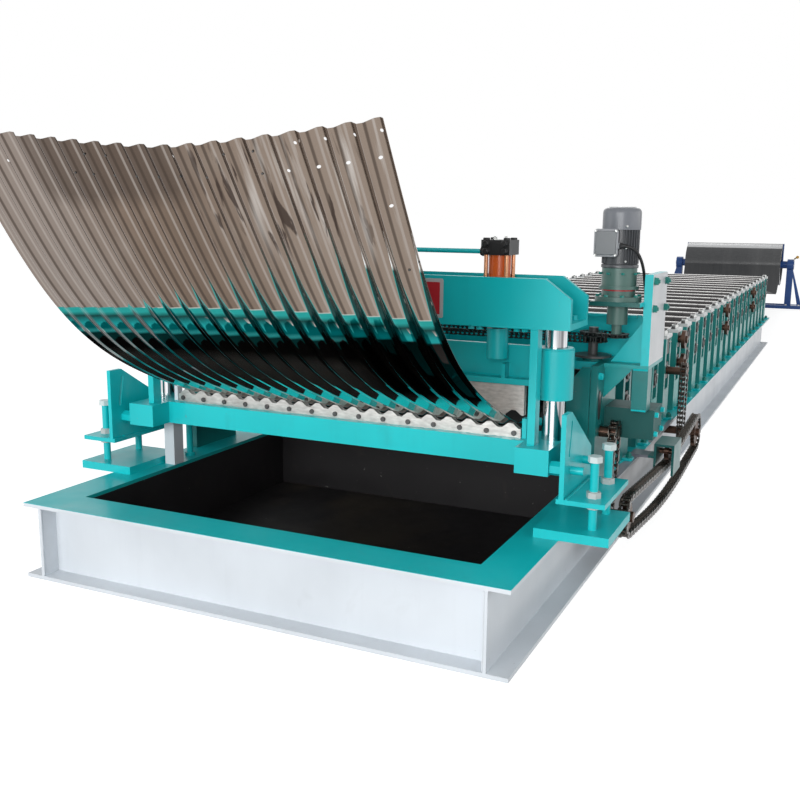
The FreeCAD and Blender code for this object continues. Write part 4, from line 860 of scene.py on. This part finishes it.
def make_panel():
    line = panel_line(PANEL_ROWS)
    across = [-PANEL_HALF + 2 * PANEL_HALF * i / PANEL_COLUMNS for i in range(PANEL_COLUMNS + 1)]
    blank = Piece("panel_blank")
    under, over = [
        [[blank.bm.verts.new(panel_point(x, station, rise)) for x in across] for station in line]
        for rise in (-PANEL_SKIN, PANEL_SKIN)
    ]
    for grid, order in ((under, 1), (over, -1)):
        for low, high in zip(grid, grid[1:]):
            for i in range(PANEL_COLUMNS):
                blank.bm.faces.new((low[i], low[i + 1], high[i + 1], high[i])[::order])
    rims = [(under[0], over[0]), (under[-1], over[-1])]
    rims += [([row[i] for row in under], [row[i] for row in over]) for i in (0, PANEL_COLUMNS)]
    for low, high in rims:
        for i in range(len(low) - 1):
            blank.bm.faces.new((low[i], low[i + 1], high[i + 1], high[i]))

    drill = Piece("panel_drill")
    for x, back in HOLES:
        drill.spin(panel_spot(x, back, line), [(HOLE_RADIUS, -0.015), (HOLE_RADIUS, 0.015)], 14)
    rivets = Piece("panel_rivets")
    head = [(0.0014, -0.0042), (0.0028, -0.0036), (0.0034, -0.0005), (0.0034, 0.0002)]
    for x, back in RIVETS:
        rivets.spin(panel_spot(x, back, line), head, 12)
    rivets.done("machine", "block_steel")

    whole = add_object("panel_blank", blank.mesh())
    drills = add_object("panel_drill", drill.mesh())
    cut = whole.modifiers.new("holes", "BOOLEAN")
    cut.operation = "DIFFERENCE"
    cut.solver = "EXACT"
    cut.object = drills
    bpy.context.view_layer.update()
    graph = bpy.context.evaluated_depsgraph_get()
    sheet = bpy.data.meshes.new_from_object(whole.evaluated_get(graph))
    bpy.data.objects.remove(whole)
    bpy.data.objects.remove(drills)
    sheet.materials.clear()
    sheet.materials.append(MATERIALS["sheet_steel"])
    sheet.shade_smooth()
    sheet.set_sharp_from_angle(angle=math.radians(50))
    panel = add_object("panel_sheet", sheet)
    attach(panel, "machine")
    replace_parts(panel, "curved_panel")


make_panel()

# Roller chains.

SIDE_PITCH, CROSS_PITCH = 0.0254, 0.01905


def loop_line(circles):
    """The closed line of a chain round its wheels, each (u, v, radius), left-handed if negative."""
    headings = []
    for i, (u, v, radius) in enumerate(circles):
        after = circles[(i + 1) % len(circles)]
        span = math.hypot(after[0] - u, after[1] - v)
        heading = math.atan2(after[1] - v, after[0] - u)
        headings.append(heading - math.asin((after[2] - radius) / span))
    points = []
    for i, (u, v, radius) in enumerate(circles):
        turn = (headings[i] - headings[i - 1]) % (2 * math.pi)
        if radius < 0:
            turn -= 2 * math.pi
        count = max(4, int(abs(turn * radius) / 0.004))
        for k in range(count + 1):
            t = headings[i - 1] + turn * k / count
            points.append(Vector((u + radius * math.sin(t), v - radius * math.cos(t))))
    return points


def spaced(points, pitch):
    """The pin centres: equal steps near the pitch along a closed line, an even number."""
    spans = [(points[(i + 1) % len(points)] - p).length for i, p in enumerate(points)]
    total = sum(spans)
    count = 2 * round(total / pitch / 2)
    found = []
    i, gone = 0, 0.0
    for k in range(count):
        want = total * k / count
        while gone + spans[i] < want:
            gone += spans[i]
            i += 1
        share = (want - gone) / spans[i] if spans[i] else 0
        found.append(points[i].lerp(points[(i + 1) % len(points)], share))
    return found


def add_chain(piece, circles, pitch, plate, width, to_world):
    """A roller chain: link plates in pairs, rollers and pins. to_world places (u, v, w)."""

    def block(outline, low, high):
        piece.rings([[to_world(p.x, p.y, w) for p in outline] for w in (low, high)])

    pins = spaced(loop_line(circles), pitch)
    thick = width * 0.09
    for i, pin in enumerate(pins):
        after = pins[(i + 1) % len(pins)]
        run = (after - pin).normalized()
        across = Vector((-run.y, run.x))
        outline = []
        for centre, end in ((after, plate), (pin, -plate)):
            for k in range(5):
                t = -math.pi / 2 + math.pi * k / 4
                outline.append(centre + (run * math.cos(t) + across * math.sin(t)) * end)
        inner = width / 2 - thick * (1.2 if i % 2 else 2.4)
        for low in (inner, -inner - thick):
            block(outline, low, low + thick)
        for radius, reach in ((plate * 0.62, width / 2 - thick * 2.4), (plate * 0.34, width / 2)):
            block([pin + Vector(p) for p in around(8, radius)], -reach, reach)


def side_plane(x):
    return lambda y, z, w: Vector((x + w, y, z))


def flat_plane(z):
    return lambda x, y, w: Vector((x, y, z + w))


# The long chain sags along a wide circle, and the idler presses its upper run down.
NEAR_SHAFT, FAR_SHAFT = (0.985, 0.231), (2.6, 0.225)
side_chain = Piece("side_chain_links")
long_loop = [(*NEAR_SHAFT, 0.07), (1.85, 5.1, 5.0), (*FAR_SHAFT, 0.086), (1.8, 0.297, -0.05)]
add_chain(side_chain, long_loop, SIDE_PITCH, 0.0115, 0.04, side_plane(1.03))
for low, high in ((NEAR_SHAFT, (1.035, 0.527)), (FAR_SHAFT, (2.6, 0.535))):
    loop = [(*low, 0.038), (*high, 0.038)]
    add_chain(side_chain, loop, SIDE_PITCH, 0.0098, 0.032, side_plane(0.96))
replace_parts(finish_piece(side_chain, "chain_steel"), "side_chains")

JACK_WHEEL = 0.046
jacks = [(-JACK_X, JACK_Y, JACK_WHEEL), (JACK_X, JACK_Y, JACK_WHEEL)]
from_motor = [(JACK_X, JACK_Y, JACK_WHEEL), (MOTOR_X, MOTOR_Y, 0.04)]
cross_chain = Piece("cross_chain_links")
add_chain(cross_chain, jacks, CROSS_PITCH, 0.0075, 0.026, flat_plane(0.862))
add_chain(cross_chain, from_motor, CROSS_PITCH, 0.0075, 0.014, flat_plane(0.882))
cross_chain = finish_piece(cross_chain, "small_chain")
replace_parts(cross_chain, "cross_chains")

# Bolts, nuts, welds and fittings.


def turned(name, slot, places, profile, count, body="machine"):
    """A piece of equal turned forms, one at each place."""
    piece = Piece(name)
    for place in places:
        piece.spin(place, profile, count)
    finish_piece(piece, slot, body)


# Plain collars fill the shafts between the top rollers' ends and the housings.
ROLLER_END = 0.7355
turned("roller_end_collars", "roller_chrome", [
    aim((s * ROLLER_END, y, UPPER_AXLE), (s, 0, 0)) for y, s in HOUSINGS
], [
    (0.0262, 0), (0.0605, 0), (0.0618, 0.0015), (0.0618, 0.0845), (0.0605, 0.086), (0.0262, 0.086),
], 32)

# Each station's cap has two screws and a large nut with a smaller one on it.
screws = Piece("cap_screws")
nuts = Piece("cap_nuts")
for y, s in HOUSINGS:
    x = s * HOUSING_MIDDLE
    for dy in (-0.058, 0.058):
        screws.bolt((x, y + dy, CAP_TOP), UP, 0.02, 0.012, washer=0.012)
    nuts.bolt((x, y, CAP_TOP), UP, 0.034, 0.016, washer=0.02)
    screws.bolt((x, y, CAP_TOP + 0.016), UP, 0.018, 0.006)
finish_piece(screws, "block_steel")
finish_piece(nuts, "zinc_bolts")

# Lugs hold the housings' feet down, with a weld bead along each foot.
LUG_THICK = 0.012
lug_outline = [
    (-0.021, -0.03), (0.012, -0.03), (0.021, -0.02), (0.021, 0.02), (0.012, 0.03), (-0.021, 0.03),
]
lugs = Piece("foot_lugs")
lug_bolts = Piece("foot_lug_bolts")
for y, s in HOUSINGS:
    outline = [(s * a, b) for a, b in lug_outline][::s]
    lugs.prism(Matrix.Translation((s * 0.893, y, FLANGE_TOP)), outline, 0, LUG_THICK, 0.0015)
    foot_x, weld_z = s * 0.874, FLANGE_TOP + 0.001
    lugs.bead((foot_x, y - 0.07, weld_z), (foot_x, y + 0.07, weld_z))
    lug_bolts.bolt((s * 0.895, y, FLANGE_TOP + LUG_THICK), UP, 0.024, 0.014, washer=0.014, stud=0.006)
finish_piece(lugs, "frame_paint")
finish_piece(lug_bolts, "green_paint")

# Bearing blocks carry a grease nipple each.
turned("grease_nipples", "zinc_bolts", [
    aim((s * BLOCK_FACE, y + 0.024, z + 0.02), (s, 0, 0))
    for y, s in HOUSINGS for z in (LOWER_AXLE, UPPER_AXLE)
], [(0.005, 0), (0.005, 0.004), (0.003, 0.005), (0.0035, 0.009), (0.002, 0.012)], 10)

# Shafts end in dark locknuts just proud of the blocks, but not where the right ones carry gears.
GEARED = [STATIONS[i] for i in (3, 4, 10, 16)]
locknut_profile = [
    (0.03, 0), (0.031, 0.001), (0.031, 0.007), (0.029, 0.009), (0.017, 0.0092), (0.0165, 0.006),
    (0.001, 0.0055),
]
locknuts = Piece("shaft_locknuts")
for y, s in HOUSINGS:
    if s > 0 and y in GEARED:
        continue
    for z in (LOWER_AXLE, UPPER_AXLE):
        locknuts.spin(aim((s * BLOCK_FACE, y, z), (s, 0, 0)), locknut_profile, 24)
        for dy, dz in around(4, 0.0245, math.pi / 4):
            place = aim((s * BLOCK_FACE, y + dy, z + dz), (s, 0, 0))
            locknuts.spin(place, [(0.0045, 0), (0.0045, 0.0098), (0.001, 0.0098)], 8)
finish_piece(locknuts, "block_steel")

# Bolts of the shear's brackets and top beam, and of the curving unit's side plates.
BRACKET_FACE, POST_FACE = 1.066, 1.088
frame_bolts = Piece("frame_bolts")
bracket_bolts = Piece("bracket_bolts")
for y, z in ((1.072, 1.083), (1.292, 1.075), (1.072, 0.985), (1.292, 0.975)):
    bracket_bolts.bolt((BRACKET_FACE, y, z), (1, 0, 0), 0.024, 0.012, washer=0.014, stud=0.004)
for s in SIDES:
    for x in (0.552, 0.58, 0.712, 0.74):
        frame_bolts.bolt((s * x, 0.604, 0.946), DOWN, 0.019, 0.012, washer=0.0115)
    for y in (0.985, 1.235):
        for z in (0.33, 0.74):
            frame_bolts.bolt((s * SIDE_PLATE_FACE, y, z), (s, 0, 0), 0.024, 0.012, washer=0.014)
    for y in (0.62, 0.738):
        frame_bolts.bolt((s * 0.868, y, 0.966), UP, 0.022, 0.012, washer=0.013)
for y in (1.112, 1.228):
    for z in (0.52, 0.592):
        frame_bolts.bolt((POST_FACE, y, z), (1, 0, 0), 0.018, 0.01, washer=0.011)
finish_piece(frame_bolts, "frame_paint")
finish_piece(bracket_bolts, "green_paint")

# A row of socket screws holds the lower blade.
BLADE_BOLTS, BLADE_BOLT_STEP = 15, 0.1
head = [(0.0088, 0.0), (0.0092, 0.0012), (0.0092, 0.005), (0.0084, 0.006), (0.005, 0.006)]
blade_bolts = Piece("blade_bolts")
for i in range(BLADE_BOLTS):
    place = aim(((i - BLADE_BOLTS // 2) * BLADE_BOLT_STEP, 0.647, 0.576), FRONT)
    blade_bolts.spin(place, head, 16)
    blade_bolts.spin(place, [(0.005, 0.0061), (0.0046, 0.0025)], 6)
finish_piece(blade_bolts, "block_steel")

# The ram's sleeves have a ring round each guide column.
turned("sleeve_rings", "frame_paint", [aim((s * 0.824, RAM_Y, 0.87), UP) for s in SIDES], [
    (0.06, 0), (0.061, 0.001), (0.061, 0.004), (0.059, 0.006), (0.0392, 0.006), (0.039, 0.001),
], 32, "shear_ram")

# Cylinder caps carry tie rod nuts, an air bleed and the union of the pressure pipe.
union_profile = [
    (0.007, 0), (0.007, 0.004), (0.0045, 0.005), (0.0045, 0.008), (0.006, 0.009), (0.003, 0.012),
]
cap_nuts = Piece("cylinder_cap_nuts")
unions = Piece("pipe_unions")
for s in SIDES:
    x = s * CYLINDER_X
    for dx in (-0.036, 0.036):
        for dy in (-0.036, 0.036):
            cap_nuts.bolt((x + dx, RAM_Y + dy, CYLINDER_TOP), UP, 0.022, 0.007)
    for dx in (-0.033, 0.033):
        for z in (1.19, 1.216):
            cap_nuts.bolt((x + dx, 0.638, z), FRONT, 0.018, 0.008, washer=0.012)
    cap_nuts.bolt((s * 0.566, RAM_Y, 1.188), (-s, 0, 0), 0.03, 0.018)
    for dx, dy in ((-0.012, -0.02), (0.016, 0.012)):
        unions.spin(aim((x + dx, RAM_Y + dy, CYLINDER_TOP), UP), union_profile, 12)
finish_piece(cap_nuts, "black_paint")
finish_piece(unions, "zinc_bolts")

# The motor: a finned body, a domed fan cowl, a terminal box with a rounded lid, and a grille.
MOTOR = Matrix.Translation((MOTOR_X, MOTOR_Y, 0))
FINS, FIN_FOOT, FIN_HEIGHT = 34, 1.143, 0.125
FIN = [(0.0565, -0.0016), (0.0655, -0.001), (0.0655, 0.001), (0.0565, 0.0016)]
motor_body = Piece("motor_body")
motor_body.spin(MOTOR, [
    (0.05, MOTOR_SEAT), (0.0655, 1.1285), (0.0665, 1.13), (0.0665, 1.138), (0.0655, 1.14),
    (0.0575, 1.142), (0.0575, 1.27),
], 48)
for i in range(FINS):
    t = 2 * math.pi * i / FINS
    beside_box = -2.35 < (t + math.pi) % (2 * math.pi) - math.pi < -1.35
    if not beside_box:
        place = MOTOR @ Matrix.Rotation(t, 4, "Z") @ Matrix.Translation((0, 0, FIN_FOOT))
        motor_body.prism(place, FIN, 0, FIN_HEIGHT)
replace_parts(finish_piece(motor_body, "fin_paint"), "motor")

turned("motor_cowl", "motor_paint", [MOTOR], [
    (0.058, 1.269), (0.066, 1.2625), (0.068, 1.263), (0.0682, 1.271), (0.068, 1.322),
    (0.0665, 1.33), (0.062, 1.336), (0.056, 1.339), (0.02, 1.342), (0.002, 1.342),
], 48)

BOX_MIDDLE, LID_FOOT = 1.217, 0.0085
box_place = upright(0.903, 1.0, BOX_MIDDLE)
terminal = Piece("motor_terminal_box")
terminal.prism(box_place, rounded(0.039, 0.043, 0.01), -0.018, 0.002, 0.001)
terminal.prism(box_place, rounded(0.043, 0.049, 0.011), 0.002, 0.009, 0.002)
terminal.prism(upright(0.91, 1.03, BOX_MIDDLE), rounded(0.03, 0.034, 0.006), -0.02, 0.014, 0.001)
gland = lead_route[0]
terminal.tube([(0.92, gland.y, gland.z), gland], 0.012, 6)
finish_piece(terminal, "lid_paint")
box_lid = Piece("terminal_box_lid")
box_lid.prism(box_place, rounded(0.037, 0.042, 0.009), LID_FOOT, 0.0125, 0.003)
finish_piece(box_lid, "gearbox_paint")
lid_screws = Piece("terminal_box_screws")
for x in (-0.036, 0.036):
    for z in (-0.042, 0.042):
        place = aim(box_place @ Vector((x, z, LID_FOOT)), FRONT)
        lid_screws.spin(place, [(0.0042, 0), (0.0042, 0.005), (0.003, 0.0062), (0.0008, 0.006)], 12)
turn = math.radians(-62)
outward = Vector((math.cos(turn), math.sin(turn), 0))
for z in (1.275, 1.2, 1.152):
    place = aim(MOTOR @ (outward * 0.0672) + Vector((0, 0, z)), outward)
    lid_screws.spin(place, [(0.0045, 0), (0.0045, 0.003), (0.003, 0.0045), (0.0008, 0.0045)], 12)
finish_piece(lid_screws, "zinc_bolts")

GRILLE_WIRE = 0.0016
grille = Piece("cowl_grille")
for radius in (0.014, 0.024, 0.034, 0.044):
    ring = [MOTOR @ Vector((*p, 1.3415)) for p in around(40, radius)]
    grille.tube(ring, GRILLE_WIRE, 6, closed=True)
for k in range(3):
    bar = Matrix.Rotation(math.radians(20 + 60 * k), 4, "Z")
    spots = [MOTOR @ bar @ Vector((r, 0, 1.342)) for r in (-0.048, -0.024, 0.024, 0.048)]
    grille.tube(spots, GRILLE_WIRE, 6)
finish_piece(grille, "cap_steel")

# The reducer's flange bolts, its red tell-tale band and the collars at the lead's ends.
motor_bolts = Piece("motor_flange_bolts")
for radius, z, direction, across, height in (
    (0.0685, 1.112, DOWN, 0.012, 0.007), (0.075, 1.024, UP, 0.014, 0.009),
):
    for dx, dy in around(8, radius, math.radians(22.5)):
        motor_bolts.bolt((MOTOR_X + dx, MOTOR_Y + dy, z), direction, across, height)
finish_piece(motor_bolts, "green_paint")
turned("reducer_red_band", "plate_red", [MOTOR], [
    (0.0595, 1.046), (0.0604, 1.047), (0.0604, 1.057), (0.0595, 1.058),
], 40)
turned("lead_collars", "black_cord", [aim(lead_route[0], (1, 0, 0)), aim(lead_route[-1], UP)], [
    (0.0105, 0), (0.0108, 0.004), (0.0095, 0.006), (0.0085, 0.012), (0.0062, 0.022),
    (0.0057, 0.022),
], 16)

# A plain red plate in a grey border on the top beam.
place = upright(0.396, 0.568, 1.032)
for name, slot, half, corner, low, high, edge in (
    ("red_plate_border", "plate_grey", 0.066, 0.006, 0, 0.002, 0.0006),
    ("red_plate", "plate_red", 0.054, 0.003, 0.002, 0.0032, 0.0005),
):
    plate = Piece(name)
    plate.prism(place, rounded(half, half, corner), low, high, edge)
    finish_piece(plate, slot)

# Weld beads along the main joints.
FINE, WIDE = 0.0035, 0.005
welds = Piece("weld_beads")
for s in SIDES:
    welds.bead((s * 0.94, 0.47, 0.419), (s * 0.94, 0.8, 0.419))
    welds.bead((s * 0.908, 0.53, 0.419), (s * 0.928, 0.53, 0.419))
    welds.bead((s * 0.78, 0.5675, 0.947), (s * 0.62, 0.5675, 0.947), FINE)
    for y in (0.556, 0.602):
        for z in (0.562, 0.945):
            welds.bead((s * 0.776, y, z), (s * 0.8, y, z), FINE)
    welds.bead((s * 0.906, 0.965, FLANGE_TOP + 0.001), (s * 0.906, 1.255, FLANGE_TOP + 0.001), WIDE)
    for y in (0.588, 0.77):
        welds.bead((s * 0.2, y, 0.967), (s * 0.6, y, 0.967), FINE)
for start, end in (
    ((1.035, 1.112, 0.795), (1.035, 1.112, 0.94)), ((0.92, 1.112, 0.781), (1.03, 1.112, 0.781)),
    ((0.906, 1.06, 0.765), (0.906, 1.31, 0.765)), ((1.012, 1.049, 0.764), (1.064, 1.049, 0.764)),
    ((1.012, 1.049, 0.614), (1.064, 1.049, 0.614)),
):
    welds.bead(start, end)
finish_piece(welds, "frame_paint")
corner_welds = Piece("corner_welds")
for s in SIDES:
    corner_welds.bead((s * 0.8405, 0.001, 0.02), (s * 0.8405, 0.001, 0.262), FINE)
finish_piece(corner_welds, "base_paint")

# The curving frame's front covers, and the oval eyes in its side plates.
cover_outline = [(-0.045, 0), (0.04, 0), (0.04, 0.275), (0.01, 0.275), (-0.045, 0.2)]
oval = [(0.055 * a, 0.02 * b) for a, b in around(24)]
covers = Piece("curving_front_covers")
eyes = Piece("side_plate_eyes")
for s in SIDES:
    covers.prism(upright(s * 0.84, 0.955, 0.5), cover_outline, 0, 0.006, 0.001)
    place = aim((s * SIDE_PLATE_FACE, 1.0, 0.632), (s, 0, 0))
    along = place.to_3x3().inverted() @ Vector(UP)
    upward = Matrix.Rotation(math.atan2(along.y, along.x), 4, "Z")
    eyes.prism(place @ upward, oval, 0.0, 0.0025, 0.001)
finish_piece(covers, "deep_paint")
finish_piece(eyes, "black_paint")


def oblong(x_low, x_high, y_low, y_high):
    return [(x_low, y_low), (x_high, y_low), (x_high, y_high), (x_low, y_high)]


# A white post stands on the base behind the left end of the lower beam.
post = Piece("beam_end_post")
post_foot = Matrix.Translation((-0.798, 0.7, FLANGE_TOP + 0.0001))
post.prism(post_foot, oblong(-0.024, 0.024, -0.03, 0.03), 0, 0.1935, 0.0015)
finish_piece(post, "white_paint")

# A cross plate with a folded top rail and ribs stands behind the jack screws, painted a brighter teal
# as painted light.
cross_plate = Piece("curving_cross_plate")
plate_outline = [
    (-0.965, -0.082), (0.972, -0.082), (0.972, 0.05), (0.93, 0.082), (-0.925, 0.082), (-0.965, 0.05),
]
cross_plate.prism(upright(0.06, 1.257, 0.862), plate_outline, 0, 0.012, 0.0015)
rail_place = Matrix.Translation((0.06, 1.24, 0.934))
cross_plate.prism(rail_place, oblong(-0.92, 0.92, -0.02, 0.006), 0, 0.01, 0.0015)
rib_frame = Matrix.Rotation(math.pi / 2, 4, "Y") @ Matrix.Rotation(math.pi, 4, "Z")
rib_outline = [(0, 0), (0.14, 0), (0.14, 0.012), (0, 0.045)]
for x in (-0.6, -0.2, 0.2, 0.6):
    cross_plate.prism(Matrix.Translation((x, 1.245, 0.78)) @ rib_frame, rib_outline, 0, 0.01, 0.001)
finish_piece(cross_plate, "back_paint")

# The decoiler's lever with its knob, and its bolts.
LEVER_END = (0.92, 12.98, 0.778)
knob = [(0.011, 0), (0.019, 0.006), (0.022, 0.02), (0.018, 0.034), (0.006, 0.04)]
lever = Piece("decoiler_lever")
lever.tube([(0.868, 13.28, 0.742), (0.885, 13.24, 0.757), (0.905, 13.12, 0.77), LEVER_END], 0.011, 12)
lever.spin(aim(LEVER_END, (0.1, -1, 0.05)), knob, 16)
finish_piece(lever, "handle_paint")
reel_bolts = Piece("decoiler_bolts")
for s in SIDES:
    for y in (REEL_Y - 0.14, REEL_Y + 0.14):
        for x in (0.8, 0.98):
            reel_bolts.bolt((s * x, y, 0.05), UP, 0.026, 0.015, washer=0.018)
    for dy, dz in around(6, 0.068):
        reel_bolts.bolt((s * 0.86, REEL_Y + dy, REEL_Z + dz), (s, 0, 0), 0.014, 0.008)
finish_piece(reel_bolts, "zinc_bolts")

# Floor, light and background.

FLOOR_LEVEL = -0.001


def seen_rays(tree):
    """1 for rays that the camera sends out itself, off metal or through glass, and 0 for others."""
    path = add_node(tree, "ShaderNodeLightPath", {})
    seen = path.outputs["Is Camera Ray"]
    for name in ("Is Glossy Ray", "Is Transmission Ray"):
        either = {0: seen, 1: path.outputs[name]}
        seen = add_node(tree, "ShaderNodeMath", either, operation="MAXIMUM").outputs[0]
    return seen


def pale_floor():
    """Pale ground that keeps its shadow, and glows to the camera and to mirrors."""
    material = bpy.data.materials.new("floor_pale")
    material.use_nodes = True
    tree = material.node_tree
    tree.nodes.clear()
    matt = add_node(tree, "ShaderNodeBsdfDiffuse", {"Color": (0.45, 0.45, 0.45, 1)})
    level = add_node(tree, "ShaderNodeMath", {0: seen_rays(tree), 1: 0.84}, operation="MULTIPLY")
    glow = add_node(tree, "ShaderNodeEmission", {"Strength": level.outputs[0]})
    total = add_node(tree, "ShaderNodeAddShader", {0: matt.outputs[0], 1: glow.outputs[0]})
    add_node(tree, "ShaderNodeOutputMaterial", {"Surface": total.outputs[0]})
    return material


def pale_world():
    """White to the camera and to mirrors, and a soft even light on the object."""
    world = bpy.data.worlds.new("world")
    world.use_nodes = True
    tree = world.node_tree
    tree.nodes.clear()
    shown, ambient = [
        add_node(tree, "ShaderNodeBackground", {"Color": color, "Strength": strength}).outputs[0]
        for color, strength in (((1, 1, 1, 1), 1.0), ((0.96, 0.98, 1.0, 1), 0.38))
    ]
    blend = add_node(tree, "ShaderNodeMixShader", {0: seen_rays(tree), 1: ambient, 2: shown})
    add_node(tree, "ShaderNodeOutputWorld", {"Surface": blend.outputs[0]})
    return world


floor_mesh = bpy.data.meshes.new("floor")
floor_corners = [(x, y, FLOOR_LEVEL) for x, y in oblong(-80, 80, -60, 120)]
floor_mesh.from_pydata(floor_corners, [], [(0, 1, 2, 3)])
floor_mesh.materials.append(pale_floor())
add_object("floor", floor_mesh)
bpy.context.scene.world = pale_world()


def lamp(name, place, target, size, power):
    """A soft oblong lamp that faces its target."""
    data = bpy.data.lights.new(name, "AREA")
    data.shape = "RECTANGLE"
    data.size, data.size_y = size
    data.energy = power
    obj = add_object(name, data)
    obj.location = place
    obj.rotation_euler = (Vector(target) - obj.location).to_track_quat("-Z", "Y").to_euler()


lamp("key", (0.5, -6.0, 2.1), (0, 2.0, 0.6), (6, 2.4), 420)
lamp("right", (8.0, 4.0, 2.6), (0, 4.5, 0.5), (12, 3), 230)
lamp("fill", (-6.0, -2.0, 2.4), (0, 1.5, 0.6), (4, 3), 60)
lamp("back", (-4.0, 18.0, 7.0), (0, 8.0, 0.5), (8, 4), 170)

bpy.context.scene.view_settings.view_transform = "Standard"
